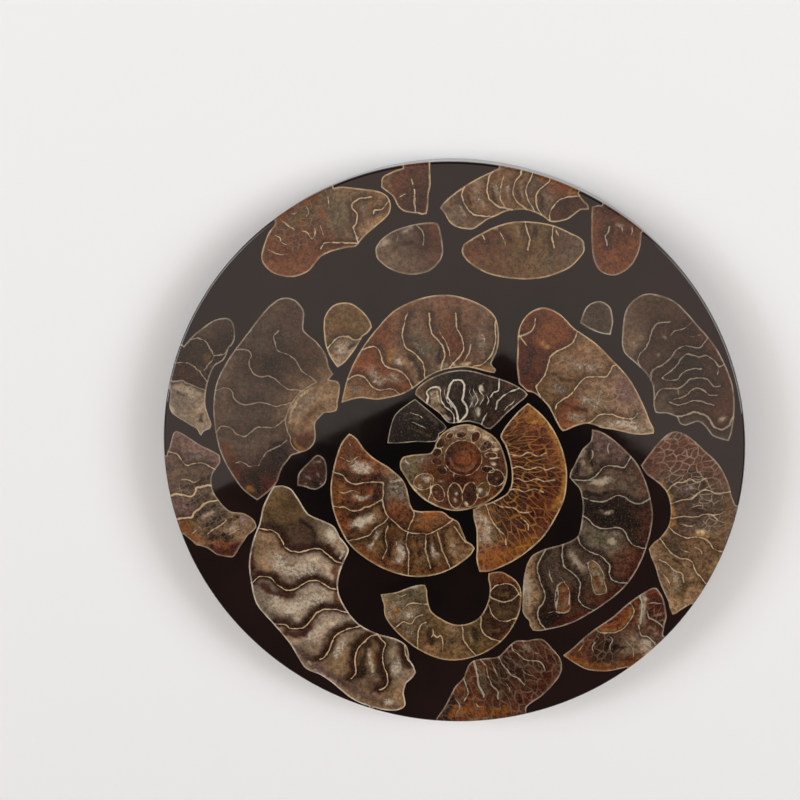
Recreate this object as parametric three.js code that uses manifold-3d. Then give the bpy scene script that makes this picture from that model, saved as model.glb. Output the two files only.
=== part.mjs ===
// Round slab inlaid with polished slices of ammonite.
// Millimetres, +Z up. The origin is at the middle of the underside, and +Y is the far side of the disc.
import * as THREE from 'three';
import Module from 'manifold-3d';
import { mergeVertices } from 'three/addons/utils/BufferGeometryUtils.js';

const DISC_DIAMETER = 121;
const DISC_THICKNESS = 8;
const EDGE_ROUNDING = 0.6;
const SLICE_THICKNESS = 4;
const FIT_GAP = 0.3;

const DISC_SIDES = 96;
const ROUNDING_STEPS = 2;
const CURVE_STEPS = 2;
const MITRE_LIMIT = 1.6;

const DISC_RADIUS = DISC_DIAMETER / 2;
const POCKET_FLOOR = DISC_THICKNESS - SLICE_THICKNESS;
const POCKET_TOP = DISC_THICKNESS + 1;

const wasm = await Module();
wasm.setup();

// Each outline is a list of smooth runs. A run goes through its own points and on to the first point of
// the next run, which is a corner. Points beyond the rim mean that the slice is ground off there.
const SLICES = [
  {
    name: 'top_left_mottled_slice', color: 0x87684e, roughness: 0.25,
    outline: [
      [[-38.6, 51.5], [-35.2, 48.8], [-36.6, 46.4], [-38, 43], [-38.2, 40.4], [-36, 38], [-32, 37.2],
        [-28.4, 38.6], [-26, 41.4], [-22.6, 42.8]],
      [[-18.9, 43.5], [-16.8, 45.8], [-14.6, 47.7], [-12.2, 49.9], [-11.7, 52], [-12.5, 53.8], [-14.6, 54.8],
        [-17.7, 55.2], [-21.5, 55.6], [-24.4, 55.5]],
      [[-27, 58.5], [-34, 56]],
    ],
  },
  {
    name: 'top_brown_slice', color: 0x7b5c4b, roughness: 0.25,
    outline: [
      [[-13.6, 57], [-13, 57.8], [-10.6, 58.9], [-7.6, 60]],
      [[-5.6, 62.5], [-3.7, 62]],
      [[-3.8, 59.6], [-3.7, 56], [-4.1, 53.9], [-4.5, 50.1]],
      [[-6.5, 50.2], [-8.9, 50.5], [-10.4, 51.7], [-11.3, 53.5], [-12.8, 54.7]],
      [[-13.7, 55.4]],
    ],
  },
  {
    name: 'upper_arc_slice', color: 0x6e6252, roughness: 0.25,
    outline: [
      [[-14.9, 43.4], [-13.7, 45.1], [-11.4, 46.7], [-8.7, 47.7], [-5.9, 48.3], [-3.4, 48.5], [-2.2, 48.1],
        [-1.7, 46.4], [-1.3, 44.1], [-1.5, 41.3], [-4, 38.6], [-8, 37.8], [-12, 38.9], [-14.7, 41.2]],
    ],
  },
  {
    name: 'top_crescent_slice', color: 0x7f6950, roughness: 0.22,
    outline: [
      [[-2, 51.3], [-1, 50.1], [0, 48.4], [1.6, 47.4], [3.6, 47], [5.1, 47.2], [7.5, 48.9], [9.4, 49.7],
        [11.4, 50.6], [15.1, 50.9], [18.2, 49.8], [19.9, 48.6]],
      [[21.2, 48.5], [23.4, 49], [24.9, 50.1], [26.1, 50.9], [27.7, 51]],
      [[27.4, 52.1], [25.4, 54.6], [26, 58]],
      [[12, 62]],
      [[10.4, 59.6], [8.2, 58.5], [4.4, 56.6], [1.1, 54.4], [-1, 52.6]],
    ],
  },
  {
    name: 'upper_right_arc_slice', color: 0x6d5e4b, roughness: 0.25,
    outline: [
      [[2.9, 44.2], [5.4, 45.8], [8.7, 47.5], [12.3, 48.6], [16, 48.7], [20.5, 48.0], [24.2, 46.4],
        [26.7, 44.9]],
      [[26.9, 42.6], [24.4, 39.6], [19.6, 37.5], [14, 37], [8, 38], [3.8, 40.4], [2.4, 42.6]],
    ],
  },
  {
    name: 'top_right_red_slice', color: 0x88593f, roughness: 0.25,
    outline: [
      [[28.1, 51.6], [29.4, 52], [31.4, 52.1], [34, 54]],
      [[42, 49]],
      [[38.1, 46.8], [37.9, 43.6], [36.4, 40], [33.2, 37.9], [30, 38.8], [28.5, 42], [28.1, 47]],
    ],
  },
  {
    name: 'left_edge_slice', color: 0x6f6158, roughness: 0.28,
    outline: [
      [[-57.2, 24.6]],
      [[-55.1, 22.8], [-53.6, 24.5], [-51.5, 26.3], [-48.6, 28.2], [-45.6, 28.7], [-44.3, 27], [-44.4, 23.9]],
      [[-45.6, 22.3], [-46.8, 19.8], [-48.8, 18.4], [-50.3, 15], [-50.9, 12.2], [-51, 10],
        [-50.4, 7.6], [-49.9, 6]],
      [[-50.3, 5], [-51.7, 4.3], [-52.3, 3.4]],
      [[-53.2, 4.9], [-56, 6.6], [-58.4, 8.4], [-58.8, 10.4], [-58.5, 13.4], [-60.4, 15.4]],
      [[-62, 18]],
    ],
  },
  {
    name: 'left_great_slice', color: 0x7c6555, roughness: 0.25,
    outline: [
      [[-40.8, -10.6], [-43.7, -8.4], [-46.3, -4.6], [-48.2, -0.5], [-49.2, 4], [-49.5, 9.5], [-48.7, 14.6],
        [-46.8, 18.6], [-44.5, 22], [-41.5, 25.8], [-38.2, 30], [-34.8, 32.8], [-31.6, 32.6], [-29.7, 30],
        [-29.9, 26.4], [-27.5, 24.1], [-25.5, 21.4], [-24.8, 18.6]],
      [[-23.9, 17.1]],
      [[-24.9, 15.9], [-23.3, 15.7], [-22.6, 14.4], [-23.1, 11.2], [-23.5, 9.2]],
      [[-26, 8.7], [-27.9, 6.6], [-27.9, 4.3], [-28.2, 2.3], [-29.6, 0.7], [-31.2, 0.1]],
      [[-33.1, -0.6], [-34.9, -2.9], [-35.7, -4.6], [-36.4, -6.5], [-38.3, -8.7]],
    ],
  },
  {
    name: 'small_wedge_slice', color: 0x8d7154, roughness: 0.25,
    outline: [
      [[-23.1, 18.4], [-24.4, 20.3], [-25.4, 22.6], [-25.8, 25.6], [-25.6, 29], [-23.6, 31.6], [-20.2, 32],
        [-17.2, 29.8], [-15.8, 27]],
      [[-17.7, 25], [-19.6, 22], [-21.6, 19.5]],
    ],
  },
  {
    name: 'upper_middle_slice', color: 0x7b6351, roughness: 0.22,
    outline: [
      [[-22.5, 10.9], [-21.9, 13.6], [-20.9, 17], [-19.1, 20.8], [-17, 24.1], [-14.6, 27.1], [-11.2, 30.6],
        [-5.6, 33.2], [0.4, 33.8], [6.2, 32], [9.4, 29.2], [10.1, 25], [9.6, 21.8], [8.6, 19.7]],
      [[9.5, 18.6], [9.2, 17.6], [6.8, 18.1], [3.4, 18.8], [-1, 18.2], [-4.1, 16.8], [-6.8, 14.7],
        [-9.1, 13.2], [-12.2, 12.2], [-15.2, 11.7], [-18.6, 12.0]],
    ],
  },
  {
    name: 'charcoal_slice', color: 0x403a34, roughness: 0.2,
    outline: [
      [[-7.1, 12.9], [-6.7, 14.3], [-4.2, 16.3], [-1, 17.7], [3, 18.3], [7, 17.5], [11.6, 16.1],
        [14.4, 14.7], [16.1, 13.2]],
      [[14.4, 11.5], [11.6, 8.9], [8.5, 5.7]],
      [[6.6, 6.6], [3.8, 7.3], [0, 6.9], [-2, 8.9], [-5.1, 11.2]],
    ],
  },
  {
    name: 'black_triangle_slice', color: 0x35342c, roughness: 0.2,
    outline: [
      [[-13, 2.4], [-12.5, 5.2], [-11.5, 8.3], [-9.7, 10.2]],
      [[-7.1, 12.1], [-4.8, 10.1], [-2.4, 8], [-0.5, 6]],
      [[-2.1, 4.6], [-2.9, 2.9]],
      [[-7, 2.8], [-10.8, 2.4]],
    ],
  },
  {
    name: 'central_spiral', color: 0x6d5544, roughness: 0.25,
    outline: [
      [[-10.4, -1.8], [-9.6, -0.4], [-6.6, 0.2], [-3.9, 0.6]],
      [[-2.9, 2.6], [-1.8, 4.4], [0.5, 6.1], [4, 6.8], [7.6, 5.4], [10.2, 3.2], [11.6, -0.4], [12.1, -3.8],
        [11.2, -7.1], [8.9, -9.4], [5.9, -11.1], [2, -12.1], [-1.4, -11.7], [-5, -10], [-7.6, -7.6],
        [-9.2, -5], [-10.3, -3.2]],
    ],
  },
  {
    name: 'amber_slice', color: 0x985c2e, roughness: 0.22,
    outline: [
      [[16.1, 11.5], [18.8, 9.3], [21.4, 6], [23.4, 1.6], [24.4, -3.4], [24.1, -8.4], [22.7, -12.3],
        [19.9, -17.3], [16, -21.2], [11.4, -24.2], [6.3, -25.6]],
      [[5.7, -20.4], [5.6, -16], [4.9, -11.7]],
      [[8.4, -10.1], [11.6, -8.3], [12.9, -5.6], [12.6, -1.4], [11.5, 2.3], [10.5, 4.4]],
      [[12, 7.1], [14.2, 9.8]],
    ],
  },
  {
    name: 'tan_slice', color: 0x987556, roughness: 0.22,
    outline: [
      [[14.2, 15.5], [13.7, 19], [13.8, 23], [14, 26.8], [15.8, 30], [19, 31.4], [22.4, 30], [25.2, 27.2],
        [29.4, 24.3], [33, 20.8], [36.6, 16.8], [39.2, 12.2], [41, 8], [41.9, 5.3]],
      [[37.5, 5.1], [34, 5.9]],
      [[31.3, 6.3], [28.3, 7.2], [25.2, 6.3], [23.3, 5.5], [22, 7.4], [20.2, 10.8], [17.6, 13.3]],
      [[16, 13.8]],
    ],
  },
  {
    name: 'small_grey_chip', color: 0x4c4941, roughness: 0.25,
    outline: [
      [[26.3, 28.2], [28.4, 26.9], [30.8, 26]],
      [[32.6, 25.8]],
      [[33, 28.4], [32.4, 31.4], [30, 32.8], [27.4, 31.4]],
    ],
  },
  {
    name: 'right_upper_wavy_slice', color: 0x6a584e, roughness: 0.25,
    outline: [
      [[34.8, 24], [34.9, 28.4], [35.8, 31.8], [38.8, 34.2], [42.6, 33.9], [46, 32.1], [49.9, 27.9],
        [53.2, 24.1], [55.4, 20.3], [57.2, 16], [57.9, 11], [57.6, 6]],
      [[57, 3.9], [55.4, 4.3], [53.6, 5], [52.2, 6.8], [50.6, 7.9], [48.3, 7.1], [46.9, 7.6]],
      [[46.4, 8.8], [44.2, 9.6], [42, 9.7]],
      [[41.5, 12], [41.2, 15.4], [39.4, 18.3], [37, 20.5], [35.3, 22.2]],
    ],
  },
  {
    name: 'right_mauve_slice', color: 0x887059, roughness: 0.25,
    outline: [
      [[39.4, -1.5], [41, 1], [43.5, 4.3], [46, 5.9], [48.9, 4.9], [52.3, 1.9], [55.4, -1.2], [57.6, -5.5],
        [59, -9.6]],
      [[63, -12], [62, -24]],
      [[54.5, -32]],
      [[50.8, -31.7], [48.7, -33.2], [47, -34.2]],
      [[46, -31.2], [44.2, -27.2], [43, -23.4], [41.6, -19.6]],
      [[43.6, -17.3], [45.4, -14.6], [45.8, -10.8], [44.8, -7.2], [42.6, -4.9], [40.6, -3.4]],
    ],
  },
  {
    name: 'right_centre_slice', color: 0x5b3c31, roughness: 0.22,
    outline: [
      [[29.2, 6.1], [31.2, 5.6], [34.2, 3.6], [38.2, -0.4], [40.3, -4.2], [41.7, -8.6], [42.3, -13],
        [41.4, -18.6], [39.8, -23.4], [37, -28.2], [32.4, -32.5], [26.4, -36.5], [21.4, -38.2],
        [17.8, -38.6]],
      [[16.9, -36.4], [15.6, -34.6], [15.5, -31.4], [15.6, -27.6], [16.2, -24], [17.6, -21.4]],
      [[20.5, -19.9], [24, -18.8], [26.7, -17.2]],
      [[27.4, -14.8], [27.7, -10.6], [26.9, -6.8], [24.8, -4.3]],
      [[25.7, -1.8], [27.3, 1.7], [29, 3.6]],
    ],
  },
  {
    name: 'centre_left_amber_slice', color: 0x935a30, roughness: 0.22,
    outline: [
      [[-20.9, 4.5], [-22.6, 2.4], [-24.1, -1.8], [-25.1, -7.2], [-24.7, -12.2], [-22.9, -17.4],
        [-20.3, -21.2], [-15.6, -24.6], [-10.6, -26.6], [-5.6, -27], [-0.8, -25.7], [3.2, -23.1],
        [5.4, -20.3]],
      [[3.7, -18.7], [2.6, -16.1], [1.8, -14.4], [0, -13.4], [-1.6, -12.2], [-4.6, -12.2], [-7.6, -12]],
      [[-8.4, -9.6], [-9, -7], [-10.2, -4.9]],
      [[-13, -2.5], [-15.6, -0.9], [-17.8, 1.2], [-19.3, 3.4]],
    ],
  },
  {
    name: 'left_lower_slice', color: 0x84675a, roughness: 0.25,
    outline: [
      [[-58.4, 3.6], [-57.6, 4.5], [-55.8, 3.7], [-52.5, 1.5], [-48.6, -0.6]],
      [[-48.5, -2.6], [-50.2, -5.2], [-50.3, -8], [-49.2, -10.4], [-46.8, -13], [-44, -13.4], [-41.9, -14.6],
        [-41.1, -16.6]],
      [[-43, -18.4], [-45, -21.4], [-46.6, -23.5]],
      [[-50, -23], [-52.2, -21.5]],
      [[-54.4, -20.9], [-57, -18.6], [-60, -17]],
      [[-63, -12], [-62.4, -4]],
      [[-60.2, -1.4], [-59.2, 1]],
    ],
  },
  {
    name: 'lower_left_great_slice', color: 0x8f826f, roughness: 0.25,
    outline: [
      [[-37.3, -7.3], [-39.6, -11.8], [-40.5, -15.6], [-42, -19.4], [-43.1, -24.6], [-42.7, -30],
        [-41.6, -34.4], [-38.4, -38.4], [-34.6, -43.3], [-31.6, -48.6], [-28.4, -50.1], [-25.3, -52.3],
        [-21.6, -55.5], [-17, -57.6], [-12, -58.2], [-9.6, -56.8], [-9.9, -54]],
      [[-9.3, -51.6], [-7.2, -49]],
      [[-8.6, -46], [-9.2, -42.9], [-11.6, -41.2], [-15.3, -40.2], [-19.4, -38.1], [-22.2, -34.6],
        [-23.8, -30.6], [-23.4, -26.6], [-22, -23], [-21.4, -21]],
      [[-23.2, -18.4], [-24.6, -15.9], [-27.7, -14.4], [-30, -13.2], [-31.6, -10.6], [-33.4, -7.9]],
      [[-35.4, -7.1]],
    ],
  },
  {
    name: 'small_red_fragment', color: 0x50302a, roughness: 0.3,
    outline: [
      [[-32.2, -7.2], [-31.8, -4.4], [-29.6, -1.9], [-27.8, -0.3], [-26.2, -1.2], [-25.7, -3.4],
        [-26.1, -6.4], [-28.2, -8]],
      [[-30.4, -7.5]],
    ],
  },
  {
    name: 'lower_centre_olive_slice', color: 0x79673a, roughness: 0.22,
    outline: [
      [[-14.8, -31.1], [-11.3, -30.5], [-8.4, -29.3], [-5.2, -28.7]],
      [[-4.7, -31.2], [-4, -34.4], [-1.8, -36.3], [1.2, -37.6], [4.2, -37.2], [6.5, -35.6], [8.1, -32.4],
        [8.5, -29], [8.2, -25.8]],
      [[11.2, -25.4], [13.6, -26.8], [15.1, -29], [15.3, -32.6], [14.2, -36.6], [11.6, -40.8], [7.6, -44],
        [2.6, -45.8], [-2.2, -45.7], [-7.2, -43.4], [-11.4, -39.8], [-13.8, -36.4]],
      [[-14.1, -33.8]],
    ],
  },
  {
    name: 'bottom_red_slice', color: 0x794c35, roughness: 0.25,
    outline: [
      [[-2.2, -58.6], [-0.9, -56.4], [1.1, -52.2], [3, -49.8], [3.9, -47.2], [5.4, -45.7]],
      [[8.4, -45.1], [10.6, -44.6], [12.4, -42.6], [14.2, -41], [16.6, -40.8], [19.8, -40.4]],
      [[22, -42.5], [23.8, -44.8], [24.1, -47.8], [22.2, -51.2], [19.4, -54.2], [16.8, -56.4],
        [15.6, -61]],
      [[6, -64], [-3.4, -62.5]],
    ],
  },
  {
    name: 'bottom_right_slice', color: 0x693b29, roughness: 0.25,
    outline: [
      [[24.2, -44.1], [26.6, -42], [28.9, -39.5], [31.4, -37.4], [34.6, -34.9], [37.6, -31.9], [41.3, -29],
        [43.6, -28.2]],
      [[45.2, -31], [45.9, -34.6], [45.3, -38.6], [46.6, -42.4]],
      [[42, -47], [38.4, -46.4], [34, -47.5], [29, -47.1]],
    ],
  },
];

// A closed list of points: the runs in order, each a smooth curve that ends at the next run's first point.
function outlinePoints(runs) {
  const points = [];
  runs.forEach((run, index) => {
    const corner = runs[(index + 1) % runs.length][0];
    const through = [...run, corner].map(([x, y]) => new THREE.Vector2(x, y));
    const curve = new THREE.SplineCurve(through);
    points.push(...curve.getPoints(run.length * CURVE_STEPS).slice(0, -1));
  });
  return THREE.ShapeUtils.isClockWise(points) ? points.reverse() : points;
}

// Moves an outline outwards by a distance, or inwards where the distance is negative.
function growOutline(points, distance) {
  return points.map((point, index) => {
    const before = points[(index + points.length - 1) % points.length];
    const after = points[(index + 1) % points.length];
    const incoming = point.clone().sub(before).normalize();
    const outgoing = after.clone().sub(point).normalize();
    const normalIn = new THREE.Vector2(incoming.y, -incoming.x);
    const normalOut = new THREE.Vector2(outgoing.y, -outgoing.x);
    const middle = normalIn.clone().add(normalOut).normalize();
    const mitre = Math.min(1 / Math.max(middle.dot(normalOut), 0.01), MITRE_LIMIT);
    return point.clone().addScaledVector(middle, distance * mitre);
  });
}

function prism(points, bottom, top) {
  const depth = top - bottom;
  const geometry = new THREE.ExtrudeGeometry(new THREE.Shape(points), { depth, bevelEnabled: false });
  return geometry.translate(0, 0, bottom);
}

// The plain disc, turned from half its section, with both edges rounded.
function discGeometry() {
  const profile = [new THREE.Vector2(0, 0)];
  const roundEdge = (centreHeight, startAngle) => {
    for (let step = 0; step <= ROUNDING_STEPS; step += 1) {
      const angle = startAngle + (step / ROUNDING_STEPS) * (Math.PI / 2);
      const reach = DISC_RADIUS - EDGE_ROUNDING + EDGE_ROUNDING * Math.cos(angle);
      profile.push(new THREE.Vector2(reach, centreHeight + EDGE_ROUNDING * Math.sin(angle)));
    }
  };
  roundEdge(EDGE_ROUNDING, -Math.PI / 2);
  roundEdge(DISC_THICKNESS - EDGE_ROUNDING, 0);
  profile.push(new THREE.Vector2(0, DISC_THICKNESS));
  return new THREE.LatheGeometry(profile, DISC_SIDES).rotateX(Math.PI / 2);
}

function toSolid(geometry) {
  const bare = geometry.clone();
  bare.deleteAttribute('normal');
  bare.deleteAttribute('uv');
  const merged = mergeVertices(bare);
  const vertProperties = new Float32Array(merged.attributes.position.array);
  const triVerts = new Uint32Array(merged.index.array);
  return new wasm.Manifold(new wasm.Mesh({ numProp: 3, vertProperties, triVerts }));
}

function toGeometry(solid) {
  const mesh = solid.getMesh();
  const geometry = new THREE.BufferGeometry();
  geometry.setAttribute('position', new THREE.BufferAttribute(new Float32Array(mesh.vertProperties), 3));
  geometry.setIndex(new THREE.BufferAttribute(new Uint32Array(mesh.triVerts), 1));
  geometry.computeVertexNormals();
  return geometry;
}

function namedMesh(name, geometry, color, roughness) {
  const material = new THREE.MeshStandardMaterial({ color, roughness, metalness: 0 });
  const mesh = new THREE.Mesh(geometry, material);
  mesh.name = name;
  return mesh;
}

const disc = toSolid(discGeometry());

// A slice stands on its pocket's floor, flush with the top, and is ground round where it reaches the rim.
function sliceMesh(slice) {
  const inner = growOutline(outlinePoints(slice.outline), -FIT_GAP / 2);
  const solid = toSolid(prism(inner, POCKET_FLOOR, DISC_THICKNESS));
  return namedMesh(slice.name, toGeometry(solid.intersect(disc)), slice.color, slice.roughness);
}

// The dark resin is the disc with a pocket for every slice.
function resinMesh() {
  let resin = disc;
  for (const slice of SLICES) {
    const outer = growOutline(outlinePoints(slice.outline), FIT_GAP / 2);
    resin = resin.subtract(toSolid(prism(outer, POCKET_FLOOR, POCKET_TOP)));
  }
  return namedMesh('resin_disc', toGeometry(resin), 0x1c1210, 0.12);
}

const inlaidDisc = new THREE.Group();
inlaidDisc.add(resinMesh());
for (const slice of SLICES) {
  inlaidDisc.add(sliceMesh(slice));
}

export default inlaidDisc;
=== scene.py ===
"""Dressed model of an inlay disc: slices of fossil ammonite set flush in dark polished resin."""
import math
from collections import namedtuple

import bpy
import numpy as np
from mathutils import Matrix, Vector
from mathutils.geometry import delaunay_2d_cdt


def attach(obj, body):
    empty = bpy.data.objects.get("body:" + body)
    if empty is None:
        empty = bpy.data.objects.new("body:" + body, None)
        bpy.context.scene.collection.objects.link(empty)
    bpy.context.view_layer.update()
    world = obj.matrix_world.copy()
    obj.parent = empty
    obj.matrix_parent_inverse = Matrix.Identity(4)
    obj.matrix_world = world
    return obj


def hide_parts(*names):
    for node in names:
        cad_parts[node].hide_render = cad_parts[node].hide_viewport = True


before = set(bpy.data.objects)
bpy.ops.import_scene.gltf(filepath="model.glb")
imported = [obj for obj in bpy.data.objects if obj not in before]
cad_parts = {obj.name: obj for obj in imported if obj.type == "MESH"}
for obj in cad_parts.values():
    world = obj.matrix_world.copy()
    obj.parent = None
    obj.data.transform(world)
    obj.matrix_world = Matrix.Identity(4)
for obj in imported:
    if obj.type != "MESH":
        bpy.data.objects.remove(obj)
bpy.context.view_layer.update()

# Sizes of the disc, in millimetres as in the part's source
MM = 0.001
DISC_RADIUS = 60.5
DISC_THICKNESS = 8.0
EDGE_ROUNDING = 0.6
FLAT_RADIUS = DISC_RADIUS - EDGE_ROUNDING
POCKET_FLOOR = 4.0
ROUNDING_STEPS = 6

# How finely the pieces are drawn, in millimetres
OUTLINE_SPACING = 0.3
LINE_SPACING = 0.25
RIM_SPACING = 0.45
CORNER_ANGLE = math.radians(48)
MITRE_LIMIT = 1.6

# How the slices fill their pockets: they grow by half of the gap that the fit leaves, less a hair,
# and outline points past the catch radius lie on the disc's rim.
SLICE_GROWTH = 0.1
RIM_CATCH = 59.85

# The lines where the walls of the chambers meet the cut, in millimetres
SEAM_WIDTH = 0.18
BOLD_WIDTH = 0.36
HAIR_WIDTH = 0.12
HAIR_FADE = 0.14
SEAM_FRILL = 0.12
SEAM_REACH = 1.6
OVAL_FRILL = 0.09
END_CLEARANCE = 0.16
GRAIN_CLEARANCE = 0.55
LINE_KINDS = (("seams", SEAM_WIDTH), ("bold", BOLD_WIDTH), ("hairs", HAIR_WIDTH))

# How the markings are painted, as parts of a stroke's width or of a colour's strength
STROKE_CORE = 0.15
STROKE_EDGE = 0.72
STROKE_COVER = 0.92
STROKE_RAGGED = 0.34
STROKE_FRINGE = 0.16
CRYSTAL_FADE = 0.8
SHADOW_CORE = 0.25
SHADOW_RAGGED = 0.45
WALL_GLOW = 0.5
DARKEST = 0.002
COLOUR_BLEND = 0.6

# The first number of each kind of random pattern, and its step from slice to slice
PAINT_SEED, PAINT_STEP = 100, 10
LINE_SEED, LINE_STEP = 500, 20
NOISE_CELLS = 64

# Helpers' values: a distance beyond every line, and the normals of flat faces
FAR = 9.0
UP = (0, 0, 1)
DOWN = (0, 0, -1)
QUARTER_TURN = math.pi / 2

# Named shades of the cut shell, as red, green and blue from 0 to 255
SHADES = {
    "near_black": (22, 14, 10),
    "soot": (36, 25, 17),
    "umber": (48, 26, 16),
    "oxblood": (66, 24, 14),
    "dark_brown": (57, 39, 26),
    "grey_brown": (62, 48, 37),
    "chestnut": (76, 43, 27),
    "cocoa": (76, 60, 47),
    "russet": (94, 51, 27),
    "olive_brown": (88, 66, 38),
    "taupe": (92, 72, 55),
    "grey_olive": (88, 78, 56),
    "amber_brown": (106, 57, 29),
    "amber": (126, 72, 30),
    "tan": (112, 82, 54),
    "mauve": (97, 72, 63),
    "stone": (99, 86, 72),
    "pale_tan": (124, 96, 68),
    "sand": (132, 111, 89),
    "pearl": (154, 134, 113),
    "chalk": (186, 170, 148),
    "honey": (150, 98, 42),
    "cream": (204, 176, 136),
    "white": (216, 202, 180),
    "gold": (170, 122, 62),
    "lilac": (128, 104, 104),
}


# How thickly pale crystals lie over the strokes of a shade, from 0 to 1
CRYSTALS = {
    "chalk": 1.0,
    "pearl": 0.85,
    "cream": 0.7,
    "sand": 0.6,
    "stone": 0.55,
    "pale_tan": 0.45,
    "lilac": 0.6,
    "taupe": 0.3,
    "grey_olive": 0.35,
}


def linear(shade):
    """A named shade as linear red, green and blue."""
    parts = [value / 255 for value in SHADES[shade]]
    return [c / 12.92 if c <= 0.04045 else ((c + 0.055) / 1.055) ** 2.4 for c in parts]


def round_line(x, y, radius, first, last):
    """Points along an arc, from one angle in degrees to another."""
    turns = [math.radians(angle) for angle in range(first, last + 1, 20)]
    return [(x + radius * math.cos(turn), y + radius * math.sin(turn)) for turn in turns]


# What a slice has where its own plan says nothing. Shadow is a shade, its reach to the left and to
# the right of a wall in millimetres, and its depth. Spacing, edge and cloud_size are millimetres too.
PLAIN_SLICE = {
    "seams": [], "bold": [], "hairs": [], "ovals": [], "chambers": [], "strokes": [], "net": None,
    "shadow": ("soot", 1.1, 1.1, 0.65),
    "spacing": 0.3, "edge": 1.0, "cloud_size": 1.8, "mottle": 0.3, "gain": 0.8,
}

# The markings on each slice, in millimetres from the disc's axis. Seams are the walls of the chambers,
# bold lines are thick walls and hairs are fine ones. An oval is its middle, half width, half height,
# tilt in degrees and line width. Chambers are spots with their shade, and strokes are soft touches
# of a shade, a width and a line. A net is a mesh of fine threads, in the areas given as middle and reach.
SLICES = {}

SLICES["left_edge_slice"] = {
    "slot": "grey_brown_fossil",
    "ground": "soot",
    "seams": [
        [(-56.9, 19.2), (-54.9, 19.2), (-53.8, 18.9), (-52.6, 17.8), (-51.8, 17), (-51, 15.8)],
        [(-54.1, 23.9), (-52.6, 24.3), (-51.8, 24.3), (-50.7, 23.9), (-49.9, 22.8), (-49.3, 21.5),
         (-49, 20.3), (-49.9, 19.1), (-51, 17.7)],
        [(-48.9, 20.8), (-47.7, 20.9), (-46.5, 21.2), (-45.6, 22.7)],
        [(-58, 15), (-56, 15.4), (-54.9, 14.8), (-53.4, 14.3), (-51.3, 13.4)],
    ],
    "chambers": [
        (-53, 21.5, "soot"), (-54.5, 17, "umber"), (-51, 25.5, "grey_brown"), (-47.5, 23, "soot"),
        (-55.5, 11.5, "stone"), (-53, 10, "sand"), (-48, 18, "soot"),
    ],
    "strokes": [
        ("olive_brown", 1.6, [(-52, 17.4), (-51.2, 16.6)]),
        ("olive_brown", 1.8, [(-50.3, 20.2), (-49.8, 18.9)]),
        ("pearl", 2.4, [(-57.5, 13.8), (-55, 13.4), (-52.8, 12.2)]),
        ("soot", 0.7, [(-56.9, 12.9), (-55.6, 12.1)]),
        ("umber", 0.9, [(-52.1, 8), (-52.1, 6.7)]),
        ("chalk", 0.9, [(-58.9, 10.3), (-58, 8.6)]),
        ("grey_brown", 1.5, [(-58, 22), (-56.5, 24.5)]),
    ],
}

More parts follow.
